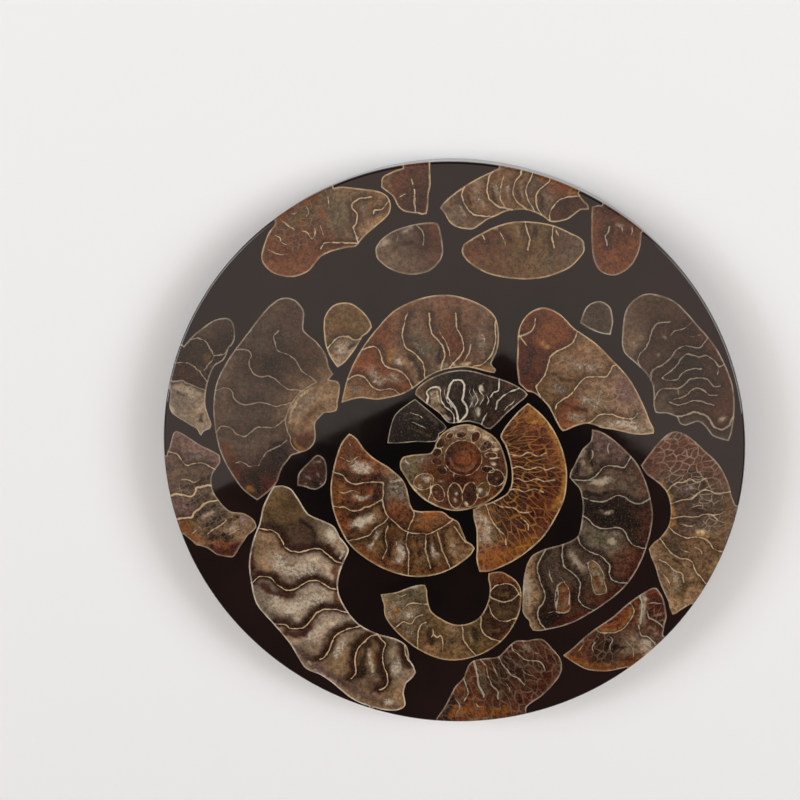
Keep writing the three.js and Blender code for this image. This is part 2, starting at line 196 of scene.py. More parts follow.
SLICES["left_great_slice"] = {
    "slot": "grey_brown_fossil",
    "ground": "dark_brown",
    "shadow": ("umber", 0.8, 0.5, 0.35),
    "seams": [
        [(-35.1, 26.1), (-36.2, 24.9), (-36, 23.6), (-35.5, 22.2), (-34.6, 21.5), (-33.4, 21.1),
         (-32.2, 20.4), (-31.4, 19.3), (-30.7, 17.9), (-29.6, 17), (-28.2, 16), (-27.5, 15.3)],
        [(-44.3, 22), (-42.5, 22.1), (-41.5, 21.7), (-41, 20.8), (-41.5, 19.6), (-41.4, 18.4),
         (-40.8, 17.2), (-39.4, 16.4), (-37.2, 16.5), (-36, 15.8), (-34.9, 14.7), (-33.4, 13.7),
         (-32, 13.7), (-30.8, 13.5)],
        [(-48.4, 13.4), (-47.2, 13.9), (-46, 13.7), (-45.2, 12.9), (-45.1, 11.8), (-44.3, 10.9),
         (-43, 10.3), (-41.3, 10.5), (-39.4, 10.9), (-37.7, 10.5), (-36.3, 10), (-34.9, 10.3),
         (-33.2, 10.8)],
        [(-49, 4.1), (-48, 5.5), (-46.8, 5.6), (-45.6, 5), (-44.9, 4), (-43.9, 3.6), (-42.7, 3.5),
         (-41.5, 4.6), (-40.1, 5.4), (-38.2, 5.5), (-36.5, 5.6), (-35.3, 6.5), (-34.1, 7.5)],
        [(-45.1, -2.4), (-44.1, -2.1), (-43.2, -2.5), (-42.2, -3.1), (-41.3, -2.9), (-40.3, -2.9),
         (-39.6, -1.7), (-38.9, -0.5), (-38, 0.4), (-36.3, 1.1), (-34.9, 2.1), (-34.1, 2.8)],
        [(-27.5, 15.3), (-28.7, 14.6), (-30.3, 13.6), (-31.5, 12.5), (-32.5, 11.2), (-33.2, 10),
         (-33.9, 8.4), (-34.3, 6.7), (-34, 5), (-33.4, 3.4), (-33.2, 2.1), (-32.5, 0.9),
         (-31.5, 0.3)],
    ],
    "chambers": [
        (-38, 24, "grey_brown"), (-30, 21, "dark_brown"), (-37, 19, "soot"), (-39.5, 13.5, "grey_brown"),
        (-40, 8, "grey_brown"), (-42, 1, "cocoa"), (-41, -6, "oxblood"), (-28, 12, "pale_tan"),
        (-31, 7, "pale_tan"), (-30, 2.5, "chestnut"),
    ],
    "strokes": [
        ("taupe", 3.2, [(-44, 21), (-46.8, 16.5), (-48, 10), (-47.8, 4)]),
        ("russet", 1.6, [(-47.5, 1.5), (-45.8, -1.4)]),
        ("oxblood", 2.4, [(-45.4, -3.4), (-43.2, -5)]),
        ("near_black", 5.0, [(-41.8, -5), (-39, -4), (-36, -0.4)]),
        ("oxblood", 3.2, [(-41.4, -6.4), (-39, -6.6)]),
        ("umber", 2.6, [(-43, -6.8), (-41, -9)]),
        ("near_black", 1.8, [(-36.2, 1.6), (-34.6, 0)]),
        ("near_black", 1.6, [(-41.4, -4.4), (-40.4, -7.6)]),
        ("honey", 1.3, [(-42.2, -7.8), (-41.8, -8.2)]),
        ("near_black", 1.2, [(-39.5, -8.3)]),
        ("chestnut", 2.0, [(-30.2, 3.2), (-31, 2.2)]),
        ("honey", 0.7, [(-32.6, 3), (-32, 1.4), (-30.4, 0.8)]),
        ("sand", 2.2, [(-27, 12.6), (-30.2, 10.6), (-32, 7.8)]),
        ("tan", 1.6, [(-27, 10), (-29.4, 8), (-30.4, 5.4)]),
        ("cream", 0.7, [(-28.4, 14.2), (-30.8, 12.4), (-32.8, 9.4), (-33.4, 6.7)]),
    ],
}

SLICES["small_wedge_slice"] = {
    "slot": "tan_fossil",
    "ground": "tan",
    "seams": [[(-25.3, 22.4), (-23.4, 24.3), (-22.5, 25), (-20.8, 24.9), (-19.1, 24.3), (-17.7, 25.2)]],
    "chambers": [(-22.5, 22, "sand"), (-22, 27, "olive_brown")],
    "strokes": [
        ("pearl", 1.4, [(-22.3, 22)]),
        ("honey", 0.9, [(-23.7, 21)]),
        ("soot", 0.8, [(-20.5, 22.8), (-19.3, 23.4)]),
    ],
}

SLICES["upper_middle_slice"] = {
    "slot": "brown_fossil",
    "ground": "russet",
    "shadow": ("umber", 1.5, 0.7, 0.7),
    "seams": [
        [(-20.8, 16.2), (-19.6, 16.8), (-18.2, 16.8), (-17.2, 16), (-16.3, 14.8), (-14.9, 13.9),
         (-13.4, 13.9), (-11.8, 14.1), (-11, 13.6), (-10.3, 13)],
        [(-17.7, 22.4), (-16.5, 22.9), (-15.3, 22.9), (-14.4, 22.2), (-14, 21), (-13.7, 19.6),
         (-12.5, 18.5), (-10.6, 18), (-9.4, 17.3), (-8.4, 16), (-7.7, 14.6), (-7, 12.9)],
        [(-8.5, 30), (-9.4, 27.2), (-9.6, 24.8), (-8.9, 22.9), (-7.2, 21.7), (-6, 20.5), (-5.3, 19.1),
         (-5.1, 17), (-5, 16.2)],
        [(-4.2, 30), (-3.9, 27.2), (-3.4, 25.5), (-2.2, 24.3), (-1.3, 22.9), (-1, 21.2), (-1.4, 19.6),
         (-1.8, 18.4)],
        [(1.2, 30), (1.6, 27), (2.5, 24.8), (2.8, 22.7), (2, 21), (0.9, 19.8)],
        [(9.6, 30), (9.3, 27.2), (9.4, 24.8), (9, 22.4), (8, 20.8), (6.3, 19.3), (3.7, 18.9)],
    ],
    "hairs": [
        [(-2.5, 27.2), (-1.5, 25.3), (-0.8, 24.1), (-0.1, 22.4), (0.1, 20.8), (0.6, 19.8)],
        [(3, 26.7), (4, 25.3), (4.3, 23.4), (3.7, 21.2), (2.5, 19.6), (1.1, 18.5)],
    ],
    "chambers": [
        (-19, 14.3, "tan"), (-17, 19, "amber_brown"), (-14, 25, "russet"), (-10.5, 20, "tan"),
        (-7, 24, "taupe"), (-4, 21, "taupe"), (0.8, 24, "russet"), (6, 24, "taupe"),
        (11, 24, "stone"),
    ],
    "strokes": [
        ("cream", 0.9, [(-2, 18.8), (-0.6, 19.4)]),
        ("cream", 0.7, [(2.4, 19.4), (4.2, 19.6)]),
        ("honey", 0.8, [(4.6, 19), (7.4, 18.8)]),
        ("stone", 1.2, [(-7.6, 24.6), (-5.6, 22), (-4.6, 20.4)]),
        ("sand", 1.0, [(6.2, 25), (6.4, 22)]),
        ("sand", 2.2, [(-16.5, 18.5), (-15.8, 17), (-14.5, 15.8), (-11.5, 16.5), (-10.3, 15.6)]),
        ("stone", 1.6, [(-19.4, 14.2)]),
        ("pearl", 1.7, [(-10.8, 20.4), (-10, 19.2)]),
        ("pearl", 1.1, [(-7.6, 19.6), (-6.7, 18.9)]),
        ("grey_olive", 1.8, [(-7.5, 25), (-4.3, 22.8), (-3.2, 21)]),
        ("cream", 1.3, [(-1.6, 19), (-1, 18.9)]),
        ("cream", 1.2, [(1, 19.3)]),
        ("gold", 1.1, [(8, 18.3)]),
        ("sand", 1.4, [(6.2, 26.5), (6.7, 24.8), (6.6, 22.9)]),
        ("honey", 1.2, [(-12.5, 20.5), (-12, 22.5)]),
        ("soot", 1.2, [(-8.4, 21), (-6, 18.2), (-5.8, 15.8)]),
        ("soot", 1.0, [(-1.9, 22.6), (-2.2, 20)]),
    ],
}

SLICES["charcoal_slice"] = {
    "slot": "charcoal_fossil",
    "ground": "near_black",
    "spacing": 0.22,
    "gain": 0.84,
    "edge": 0.85,
    "mottle": 0.5,
    "shadow": ("near_black", 0.9, 0.9, 0.8),
    "bold": [
        [(2.4, 16.1), (0.9, 16), (0.1, 15.2), (-0.1, 13.8), (-0.4, 12.8), (0.1, 11.6), (1.1, 10.4),
         (1.6, 8.8), (1.9, 7.6)],
        [(2.4, 16.1), (3, 15), (2.9, 13.4), (2.6, 12), (3.2, 11), (3.6, 9.8), (3.4, 8.6), (2.6, 7.8)],
        [(-2, 14.2), (-2.4, 14.5), (-3.6, 14.4), (-4.6, 13.6), (-4.4, 12.2), (-4.7, 10.8)],
    ],
    "seams": [
        [(-1.8, 14), (-1.9, 12.6), (-1.4, 11.2), (-0.6, 10.2), (0.2, 9.6), (0.9, 8.6), (1, 7.2)],
        [(6.6, 6.6), (7.1, 8), (7.8, 9.2)],
        [(9.6, 10), (9.8, 11.6), (10.8, 12.6), (12, 13.6), (13.4, 14.2)],
        [(13.4, 15.6), (11.4, 16.2), (9.6, 16.8), (8.8, 17.6)],
        [(8.4, 12.6), (9, 13.6), (10, 14), (10.2, 15.2)],
    ],
    "hairs": [
        [(4.6, 15.2), (4.2, 13.6), (4.8, 12), (4.2, 10.4), (4.8, 9)],
        [(5.6, 15.6), (5, 14), (5.8, 12.2), (5.2, 10.4), (5.9, 8.6)],
        [(7.2, 15.8), (6.2, 14.2), (7, 12.6), (6.3, 10.8), (6.8, 9.2)],
        [(-0.9, 14.8), (-1, 13), (-0.3, 11.4), (0.6, 10)],
        [(11, 9.4), (12, 10.6), (13, 11.4), (14, 12.6)],
        [(7.6, 10.6), (8, 12), (7.4, 13.6)],
    ],
    "chambers": [
        (1.2, 13.4, "soot"), (2.2, 10.4, "near_black"), (6, 12, "soot"), (8.4, 9, "umber"),
        (12, 12, "dark_brown"), (12, 15.4, "umber"), (-3.3, 12.8, "tan"), (-1.4, 16, "soot"),
        (0.2, 11, "near_black"), (2, 17.2, "near_black"), (3.8, 13, "near_black"),
    ],
    "strokes": [
        ("sand", 2.6, [(-3.2, 13.6), (-3.3, 12.2), (-2.8, 11)]),
        ("sand", 1.6, [(-3.6, 13.6), (-3.9, 11.4)]),
        ("cream", 0.6, [(-2.6, 13.9), (-2.3, 12.6), (-1.7, 11.2)]),
        ("pale_tan", 1.6, [(-2.8, 10.6), (-1.2, 9.4)]),
        ("cream", 0.6, [(-4.6, 10.4), (-2.8, 9.2), (-1.2, 8), (0, 6.8)]),
        ("chalk", 0.6, [(-1, 8.6), (0, 7.8)]),
        ("mauve", 0.8, [(-1.4, 14.2), (-1.4, 12.4)]),
        ("taupe", 1.0, [(0.6, 15.6), (2.4, 15.6)]),
        ("grey_brown", 1.2, [(0.9, 14), (0.8, 12.6)]),
        ("chalk", 0.8, [(6.4, 14.9), (6.7, 14)]),
        ("stone", 1.0, [(5.4, 13.6), (5.2, 11.6)]),
        ("grey_olive", 1.3, [(6.8, 13), (6.4, 11.4)]),
        ("chalk", 0.9, [(5.8, 10), (5.9, 8.6)]),
        ("grey_olive", 1.2, [(5, 9.6), (5.4, 7.6)]),
        ("stone", 0.8, [(4.4, 12.4), (4.8, 10.6)]),
        ("cocoa", 0.9, [(8.4, 15), (8, 13.4)]),
        ("stone", 0.6, [(11.2, 13.4), (11.6, 13)]),
        ("chestnut", 1.2, [(12.8, 15.2), (11.6, 15)]),
    ],
}

SLICES["black_triangle_slice"] = {
    "slot": "charcoal_fossil",
    "ground": "near_black",
    "gain": 0.65,
    "edge": 0.6,
    "shadow": ("near_black", 0.5, 0.5, 0.4),
    "hairs": [
        [(-9, 7.6), (-7.6, 7), (-6.2, 6.4), (-5.2, 6), (-4.6, 5.2)],
        [(-9.6, 8.6), (-7.8, 9), (-6, 8.2), (-4.6, 7)],
    ],
    "chambers": [(-7, 9.4, "soot"), (-8, 4.5, "near_black"), (-7.6, 7.8, "near_black")],
    "strokes": [
        ("grey_brown", 0.7, [(-9.5, 8.4), (-7.4, 9.8), (-6, 10.8)]),
        ("grey_olive", 0.5, [(-9.2, 7.4), (-7.4, 8), (-5.8, 7.4)]),
        ("cocoa", 0.7, [(-5.6, 10.2), (-4, 8.2), (-2.6, 6.8)]),
        ("olive_brown", 0.4, [(-8.4, 5.8), (-6, 5), (-3.8, 4)]),
    ],
}

SLICES["central_spiral"] = {
    "slot": "brown_fossil",
    "ground": "chestnut",
    "spacing": 0.2,
    "gain": 0.78,
    "shadow": ("umber", 0.7, 0.7, 0.6),
    "net": {"angle": 0, "long": 1.3, "short": 1.3, "strength": 0.4,
            "areas": [(3.5, 5.6, 2.6), (8.2, 1.6, 2.6), (-7, -2, 3)]},
    "seams": [
        [(-4, -6), (-4, -8), (-4.4, -9.8)],
    ],
    "ovals": [
        (2.85, -0.5, 3.9, 3.8, 0, 0.03), (1.2, -8.7, 1.5, 2.8, 4, 0.1), (4.3, -8.4, 1.6, 2.7, -8, 0.08),
        (-5.4, -5.8, 2.2, 1.7, 20, 0.05), (9.6, -4.7, 1.8, 1.8, 0, 0.05),
        (-1.9, 2.6, 1.2, 0.9, 45, 0.03), (-2.7, 0.7, 1.1, 0.9, 10, 0.03), (-2.6, -1.3, 1.1, 0.8, -5, 0.03),
        (-1.6, -3.2, 1.2, 0.8, -40, 0.03), (0.1, 4.3, 0.9, 0.6, 40, 0.03), (2.4, 4.5, 1.1, 0.7, 10, 0.03),
        (5.4, 4.1, 0.9, 1.3, -20, 0.03), (7.6, 2.2, 0.9, 1.5, -50, 0.03), (8.6, 0.2, 1.3, 0.6, 0, 0.03),
        (8, -2.9, 1.4, 0.7, -10, 0.03), (7, -7.4, 1.3, 1.9, -30, 0.05), (-2.4, -8.2, 1.3, 1.9, 20, 0.04),
    ],
    "hairs": [
        [(7, 1), (8.4, 1.5), (9.8, 1.7)],
        [(7.2, -0.8), (8.6, -0.6), (10.4, -0.4)],
    ],
    "chambers": [
        (2.8, -0.5, "amber_brown"), (0.9, -8.8, "dark_brown"), (9.6, -4.7, "umber"),
        (-8, -2, "grey_olive"), (-5.4, -5.6, "tan"), (4.2, -8.4, "umber"), (7.2, -7.6, "olive_brown"),
        (-1.9, 2.6, "near_black"), (-2.7, 0.7, "umber"), (-2.6, -1.3, "umber"), (-1.6, -3.2, "umber"),
        (0.1, 4.3, "umber"), (2.4, 4.5, "oxblood"), (5.4, 4.1, "oxblood"), (7.6, 2.2, "umber"),
        (8.6, 0.2, "umber"), (8, -2.9, "near_black"), (-2.4, -8.2, "chestnut"),
        (-0.5, -11, "chestnut"), (2.6, -5.2, "oxblood"), (-4.6, -10, "tan"), (10.8, -1, "chestnut"),
        (6.6, -10, "russet"), (3, 7.2, "pale_tan"), (-0.4, 0.6, "umber"), (8.6, 4.4, "pale_tan"),
        (-3.6, -3.6, "russet"), (9.6, -1.4, "chestnut"), (6, -5, "russet"),
    ],
    "strokes": [
        ("oxblood", 1.1, round_line(2.9, -0.6, 3.3, 180, 400)),
        ("chestnut", 0.6, round_line(2.8, -0.5, 1.9, 0, 320)),
        ("tan", 0.4, round_line(2.9, -0.6, 2.7, 180, 340)),
        ("tan", 0.9, [(3, -0.4)]),
        ("cream", 1.2, [(3.8, 5.8), (5.6, 6)]),
        ("sand", 1.6, [(-0.6, 5.2), (1.4, 5.8), (3.2, 5.6)]),
        ("cream", 1.0, [(7, 4.6), (8.4, 3.4), (9.8, 2.2)]),
        ("chalk", 0.7, [(9, 1.3), (10.2, 1.5)]),
        ("sand", 0.6, [(3.8, 3.6), (3.9, 4.8)]),
        ("sand", 0.6, [(1.2, 3.9), (1.4, 4.8)]),
        ("mauve", 0.5, [(-2, 1.7), (-1.4, 1.6)]),
        ("mauve", 0.5, [(-2.4, -0.3), (-1.6, -0.3)]),
        ("mauve", 0.5, [(-0.9, 1.2), (-1, -0.8)]),
        ("pearl", 0.6, [(0.9, -4), (0.9, -4.4)]),
        ("chalk", 0.9, [(8.9, -1.6), (9.5, -1.8)]),
        ("pearl", 0.7, [(9.8, -5), (9.9, -4.8)]),
        ("chalk", 1.2, [(6.3, -7.2), (6.5, -7.7)]),
        ("sand", 0.7, [(7.8, -7.9), (8.1, -8.5)]),
        ("sand", 0.7, [(8.6, -6.8)]),
        ("olive_brown", 1.0, [(6.6, -5.6), (7, -6.2)]),
        ("chalk", 0.8, [(1.4, -8.2), (1.5, -8.4)]),
        ("pearl", 0.7, [(1, -9.4), (1.2, -10)]),
        ("chalk", 0.5, [(3.4, -10.2), (3.8, -10.8)]),
        ("pearl", 1.5, [(-5.6, -5), (-4.2, -5.4)]),
        ("sand", 1.0, [(-6.4, -6.4), (-6, -7.6)]),
        ("olive_brown", 1.1, [(-5, -7.6), (-4.8, -8.8)]),
        ("sand", 0.8, [(-3, -8), (-2.6, -8.2)]),
        ("sand", 0.7, [(-2.2, -5.6), (-1.4, -5.7)]),
        ("cream", 0.5, [(-8.2, -6.4), (-6, -9), (-3, -11), (-1, -12)]),
        ("sand", 0.6, [(1, -11.6), (3.6, -11.4)]),
        ("pearl", 0.7, [(-9.4, -1.2), (-8.4, -2)]),
        ("stone", 1.2, [(-6, -1), (-4, -0.6)]),
        ("umber", 0.7, [(-5.6, -2.6), (-4, -2.4)]),
        ("near_black", 0.7, [(10.9, -3), (10.6, -6), (9.6, -7.8)]),
    ],
}

SLICES["amber_slice"] = {
    "slot": "amber_fossil",
    "ground": "amber_brown",
    "shadow": ("oxblood", 0.7, 0.7, 0.4),
    "net": {"centre": (2.8, -0.3), "radius": 15, "long": 3.4, "short": 1.0, "strength": 0.9},
    "seams": [
        [(12.8, 0.4), (14.6, 0.1), (16.4, 0.9), (18.2, 0.2), (20, 0.8)],
        [(12.8, -2.6), (14.4, -2.2), (16.4, -2.8), (18.2, -2.2), (20, -2.7), (21.8, -2.2)],
        [(12.2, -5.2), (14.2, -4.8), (16, -5.4), (18, -4.8), (19.8, -5.3), (21.8, -4.9)],
        [(11.6, -7.6), (13.6, -7), (15.6, -7.6), (17.6, -7), (19.6, -7.6)],
        [(9, -10), (11, -11), (13.2, -11.2), (15, -12.2), (17.2, -12)],
        [(15, -13.4), (16.4, -14.6), (16.5, -16)],
        [(8, -11.5), (9, -14.2), (10.5, -16.2), (11.7, -17.4), (11.9, -19.3)],
    ],
    "chambers": [
        (18, 7, "russet"), (16, 0, "umber"), (22.6, -1, "russet"), (19, -9, "oxblood"),
        (12, -14, "umber"), (7, -16, "sand"), (10, -22, "amber_brown"), (16, -18, "chestnut"),
        (14, 4, "umber"), (16, -4, "umber"), (14, -9, "umber"), (16, -12.6, "oxblood"),
        (18, 3, "oxblood"), (19, -5, "oxblood"),
    ],
    "strokes": [
        ("honey", 1.2, [(16.5, 10.5), (20, 6.5), (22.8, 1.5), (24, -3), (23.6, -7), (21.8, -11)]),
        ("gold", 0.6, [(17.5, 10.6), (21, 6.5), (23.6, 1.5), (24.8, -3), (24.4, -7), (22.6, -11)]),
        ("pearl", 2.0, [(5.6, -12.8), (7.4, -14), (8, -16.5), (8.4, -19)]),
        ("grey_olive", 1.4, [(8.8, -16.8), (9.8, -18.8)]),
        ("sand", 1.3, [(6.2, -17), (7, -19.4)]),
        ("soot", 1.9, [(15.5, -14.1), (15.6, -14.7)]),
        ("oxblood", 2.2, [(14, 0.8), (13.6, -2.4)]),
        ("oxblood", 1.8, [(19.5, -9), (18.4, -11)]),
        ("amber", 2.4, [(6.6, -23), (12, -22), (17, -18)]),
        ("honey", 1.4, [(16, 8.6), (17.6, 7.4)]),
    ],
}

SLICES["tan_slice"] = {
    "slot": "tan_fossil",
    "ground": "russet",
    "shadow": ("umber", 0.7, 1.3, 0.55),
    "net": {"angle": 20, "long": 2.4, "short": 1.3, "strength": 0.5,
            "areas": [(29, 20, 3.2), (32.5, 12.8, 3), (23, 20, 2.4)]},
    "seams": [
        [(14.4, 25.5), (15.6, 25.8), (16.6, 26.5), (17, 27.2), (17.4, 29)],
        [(25.9, 26.6), (25.4, 25), (24.7, 23.9), (23.2, 23), (21.8, 22.4), (20.6, 21.2), (20.1, 19.6),
         (19.7, 17.9), (18.7, 16.2), (17.8, 15), (18.2, 13.6)],
        [(34, 19.8), (33.1, 19.3), (32.5, 17.9), (31.6, 17.1), (29.9, 17.2), (28, 17), (27.3, 16.5),
         (26.1, 15.3), (25.4, 14.1), (24.2, 12.9), (22.5, 11.7), (21.8, 10.8), (21.7, 9.3)],
        [(38.5, 9.6), (37.8, 8.6), (36.3, 8.4), (34.9, 8.7), (33.5, 9.2), (31.8, 9.3), (30.6, 8.9),
         (29.4, 7.9), (28.2, 7.2)],
    ],
    "hairs": [[(14.7, 24.8), (15.6, 23.6), (16.6, 22.7)]],
    "chambers": [
        (16, 21, "oxblood"), (20.5, 26, "russet"), (26, 21, "tan"), (24, 15.5, "olive_brown"),
        (31, 13, "pale_tan"), (36, 14, "mauve"), (29, 19.5, "tan"), (24, 10, "amber_brown"),
        (35, 7, "pale_tan"), (38, 5.4, "sand"), (22, 19, "tan"),
    ],
    "strokes": [
        ("gold", 1.3, [(19, 23.8), (20.2, 23.2)]),
        ("stone", 2.2, [(21.2, 15.8), (22.6, 14.2), (24, 13.6)]),
        ("sand", 2.4, [(26.2, 13.4), (28.6, 11.8), (31, 11.2)]),
        ("sand", 2.0, [(24.4, 8.9), (26, 8.3), (28, 8.4)]),
        ("sand", 2.4, [(24, 20.4), (27, 19.4), (30.8, 19.4)]),
        ("pale_tan", 2.4, [(30, 14.6), (33.4, 12)]),
        ("umber", 1.0, [(21, 17.6), (23.4, 16.4), (25.4, 16.4)]),
        ("umber", 1.0, [(23.4, 11.4), (25.6, 10.6), (28, 10)]),
        ("pearl", 2.2, [(31.6, 6.8), (35, 7.2), (39.4, 6.2)]),
        ("chalk", 1.0, [(31.1, 6.2)]),
        ("umber", 1.6, [(15.3, 18), (17, 22)]),
        ("umber", 1.2, [(28.6, 6.4), (29.4, 7.1)]),
        ("pale_tan", 1.3, [(23.4, 20), (24, 18)]),
    ],
}

SLICES["small_grey_chip"] = {
    "slot": "charcoal_fossil",
    "ground": "grey_brown",
    "chambers": [(34, 28, "grey_brown")],
    "strokes": [("stone", 0.9, [(36, 25.4), (36.6, 28)]), ("near_black", 1.4, [(33, 27)])],
}

SLICES["right_upper_wavy_slice"] = {
    "slot": "grey_brown_fossil",
    "ground": "dark_brown",
    "seams": [
        [(44.4, 28.6), (42, 28.3), (41, 27.2), (40.4, 25.8), (40.1, 24.3), (39.4, 22.9), (38.5, 22),
         (38.1, 20.8), (38.5, 19.6)],
        [(51.2, 24.3), (50.4, 23.4), (49, 23.4), (47.5, 23.7), (46.1, 23.1), (45.1, 22), (44.4, 20.8),
         (43, 19.7), (41.6, 19.1), (40.9, 18.1), (40.9, 17.2)],
        [(55.4, 20), (54.4, 19.5), (53.2, 20.8), (51.6, 21.8), (50.1, 21.5), (48, 22), (46.6, 21),
         (46.1, 19.8), (44.7, 18.4), (43.2, 17.2)],
        [(50.9, 19), (49, 19), (47.8, 18.5), (46.8, 17.7), (46.1, 16.7), (44.7, 16.5), (43, 17)],
        [(54.7, 15.5), (53.5, 15.5), (52.3, 16.7), (51.3, 17.1), (49.2, 17), (47.8, 16), (46.3, 14.9),
         (43.5, 14.8), (42.3, 13.9), (41.6, 12.2)],
        [(54.2, 13.6), (52.8, 13.6), (51.6, 14.5), (50.4, 15), (49.2, 14.6), (48.2, 13.5),
         (46.8, 12.9), (45.6, 12.5)],
        [(53.7, 11.5), (52.3, 11.8), (50.9, 12.3), (49.4, 12.3), (48, 11.7), (46.3, 11.4), (44.7, 12)],
    ],
    "bold": [
        [(42, 9.6), (43.5, 9.9), (45.1, 9.2), (47, 9), (48.5, 9.5), (50.1, 9.9), (51.8, 9.5), (53, 8.4),
         (54, 7), (55.4, 6.4), (56.8, 7.2), (57.5, 8.6)],
    ],
    "hairs": [
        [(54.4, 19.6), (54.2, 18.1), (54, 17.2)],
        [(46.3, 14.9), (46.6, 13.4)],
        [(48.6, 28.6), (47, 27.2), (45.4, 26.8), (44, 25.2), (42.6, 24.4)],
        [(50.6, 26), (48.8, 25.6), (47.4, 26.2)],
    ],
    "chambers": [
        (37, 25, "taupe"), (42.5, 24, "dark_brown"), (48, 26, "umber"), (48, 20.4, "soot"),
        (47.2, 17.8, "soot"), (50, 13.5, "dark_brown"), (50, 11, "dark_brown"), (54, 17.5, "dark_brown"),
        (54, 9, "chestnut"), (54.5, 5.8, "grey_brown"), (44, 12, "cocoa"), (43, 30, "dark_brown"),
    ],
    "strokes": [
        ("olive_brown", 1.4, [(44.8, 15.6), (47, 14)]),
        ("chestnut", 2.0, [(50.5, 26), (54.4, 21), (57, 14), (57.8, 9)]),
        ("sand", 0.7, [(43, 25.6), (43.6, 25.2)]),
        ("sand", 0.6, [(42.3, 21.8)]),
        ("sand", 0.8, [(37.2, 24.5), (37.8, 23.2)]),
        ("pearl", 0.9, [(55, 8.3), (56, 8.9)]),
        ("cocoa", 1.2, [(44.4, 21.6), (46.6, 22)]),
        ("taupe", 1.2, [(39.4, 26.6), (38.2, 28.4)]),
    ],
}

SLICES["right_mauve_slice"] = {
    "slot": "mauve_fossil",
    "ground": "taupe",
    "shadow": ("umber", 0.7, 1.0, 0.5),
    "net": {"angle": 25, "long": 1.9, "short": 1.3, "strength": 0.75,
            "areas": [(49, 0, 7.5), (53, -7, 4), (55, -14, 2.6)]},
    "seams": [
        [(45.1, -6.7), (45.9, -5.8), (47, -5), (48.2, -5), (49.6, -4.2), (51, -4.8), (52.8, -4)],
        [(46.8, -9.2), (48.2, -8.7), (49.7, -8.6), (50.6, -7.9), (51.6, -7), (53.2, -6.5),
         (54.9, -7.2), (56.6, -7)],
        [(46.8, -12.7), (48.5, -12.4), (50.4, -12.4), (51.8, -12.2), (53.2, -11.8), (54.7, -12.2),
         (55.6, -13.1)],
        [(46.1, -15.3), (47.3, -16.2), (49, -17), (50.9, -16.8), (52.8, -17), (54, -17.9),
         (54.9, -19.3), (56.6, -20)],
        [(44.4, -17.9), (45.4, -19.3), (46.8, -20.8), (48.2, -21.5), (49.7, -21.7), (50.9, -22.7),
         (51.6, -24.6), (52.8, -25.8)],
        [(44, -22), (45.6, -22.9), (47, -24.3), (48.6, -25), (49.2, -27)],
    ],
    "hairs": [
        [(53.2, -11.8), (55.9, -11.7), (57.3, -10.8)],
        [(44.4, -24.8), (45.6, -26.2), (46.6, -28.1)],
        [(48.4, -9.6), (50, -10.4), (52, -9.8), (54.4, -10.2)],
        [(47.6, -14), (49.8, -14.4), (51.6, -13.8)],
        [(50.4, -18.8), (52.2, -19.6), (53, -21.4)],
        [(47.6, -18.4), (48.6, -19.8), (50.8, -20.4)],
    ],
    "chambers": [
        (45, 2, "chestnut"), (50, 0, "chestnut"), (47.5, -7, "cocoa"), (53, -9, "cocoa"),
        (50, -14.5, "taupe"), (50, -19, "tan"), (54.5, -22, "pale_tan"), (47, -20, "cocoa"),
        (48, -28, "pale_tan"), (46.5, -26, "pale_tan"), (44, -14, "russet"), (42.8, -20, "pale_tan"),
        (56, -15, "taupe"),
    ],
    "strokes": [
        ("gold", 1.5, [(41.3, -19.3), (43.5, -17), (45.6, -14.8), (45.9, -11), (45.3, -8.2),
                       (43.5, -5.4)]),
        ("honey", 1.0, [(42, -17.8), (44.4, -15.6), (45, -11.4), (44.4, -8.6), (43, -6.2)]),
        ("sand", 0.5, [(42.6, -17.6), (45, -15.2), (45.6, -11.4), (45, -8.4)]),
        ("cream", 1.4, [(51.4, -15.8), (53, -15.6)]),
        ("gold", 0.7, [(50.4, -16.6), (53.6, -16.4)]),
        ("sand", 2.0, [(54, -21.4), (55, -22.6)]),
        ("sand", 1.8, [(47.4, -28.4), (48.4, -27.4)]),
        ("amber_brown", 1.8, [(48.4, 3.4), (50.6, 2)]),
        ("pearl", 1.2, [(46.8, -24.4), (48, -26.8)]),
        ("olive_brown", 1.6, [(48.4, -29.6), (50, -27)]),
        ("tan", 2.2, [(57.8, -6), (57.2, -13), (55, -20.5), (52, -26.8)]),
        ("lilac", 0.8, [(48.4, -6.6), (50.4, -5.8)]),
        ("sand", 0.8, [(44.6, 4.2), (44.2, 5.4)]),
        ("soot", 0.9, [(49, -2.4), (50.4, -3.6)]),
        ("soot", 0.8, [(46.8, -21.8), (48.4, -22.8)]),
        ("umber", 1.2, [(50.6, -10.8), (52.4, -11)]),
    ],
}

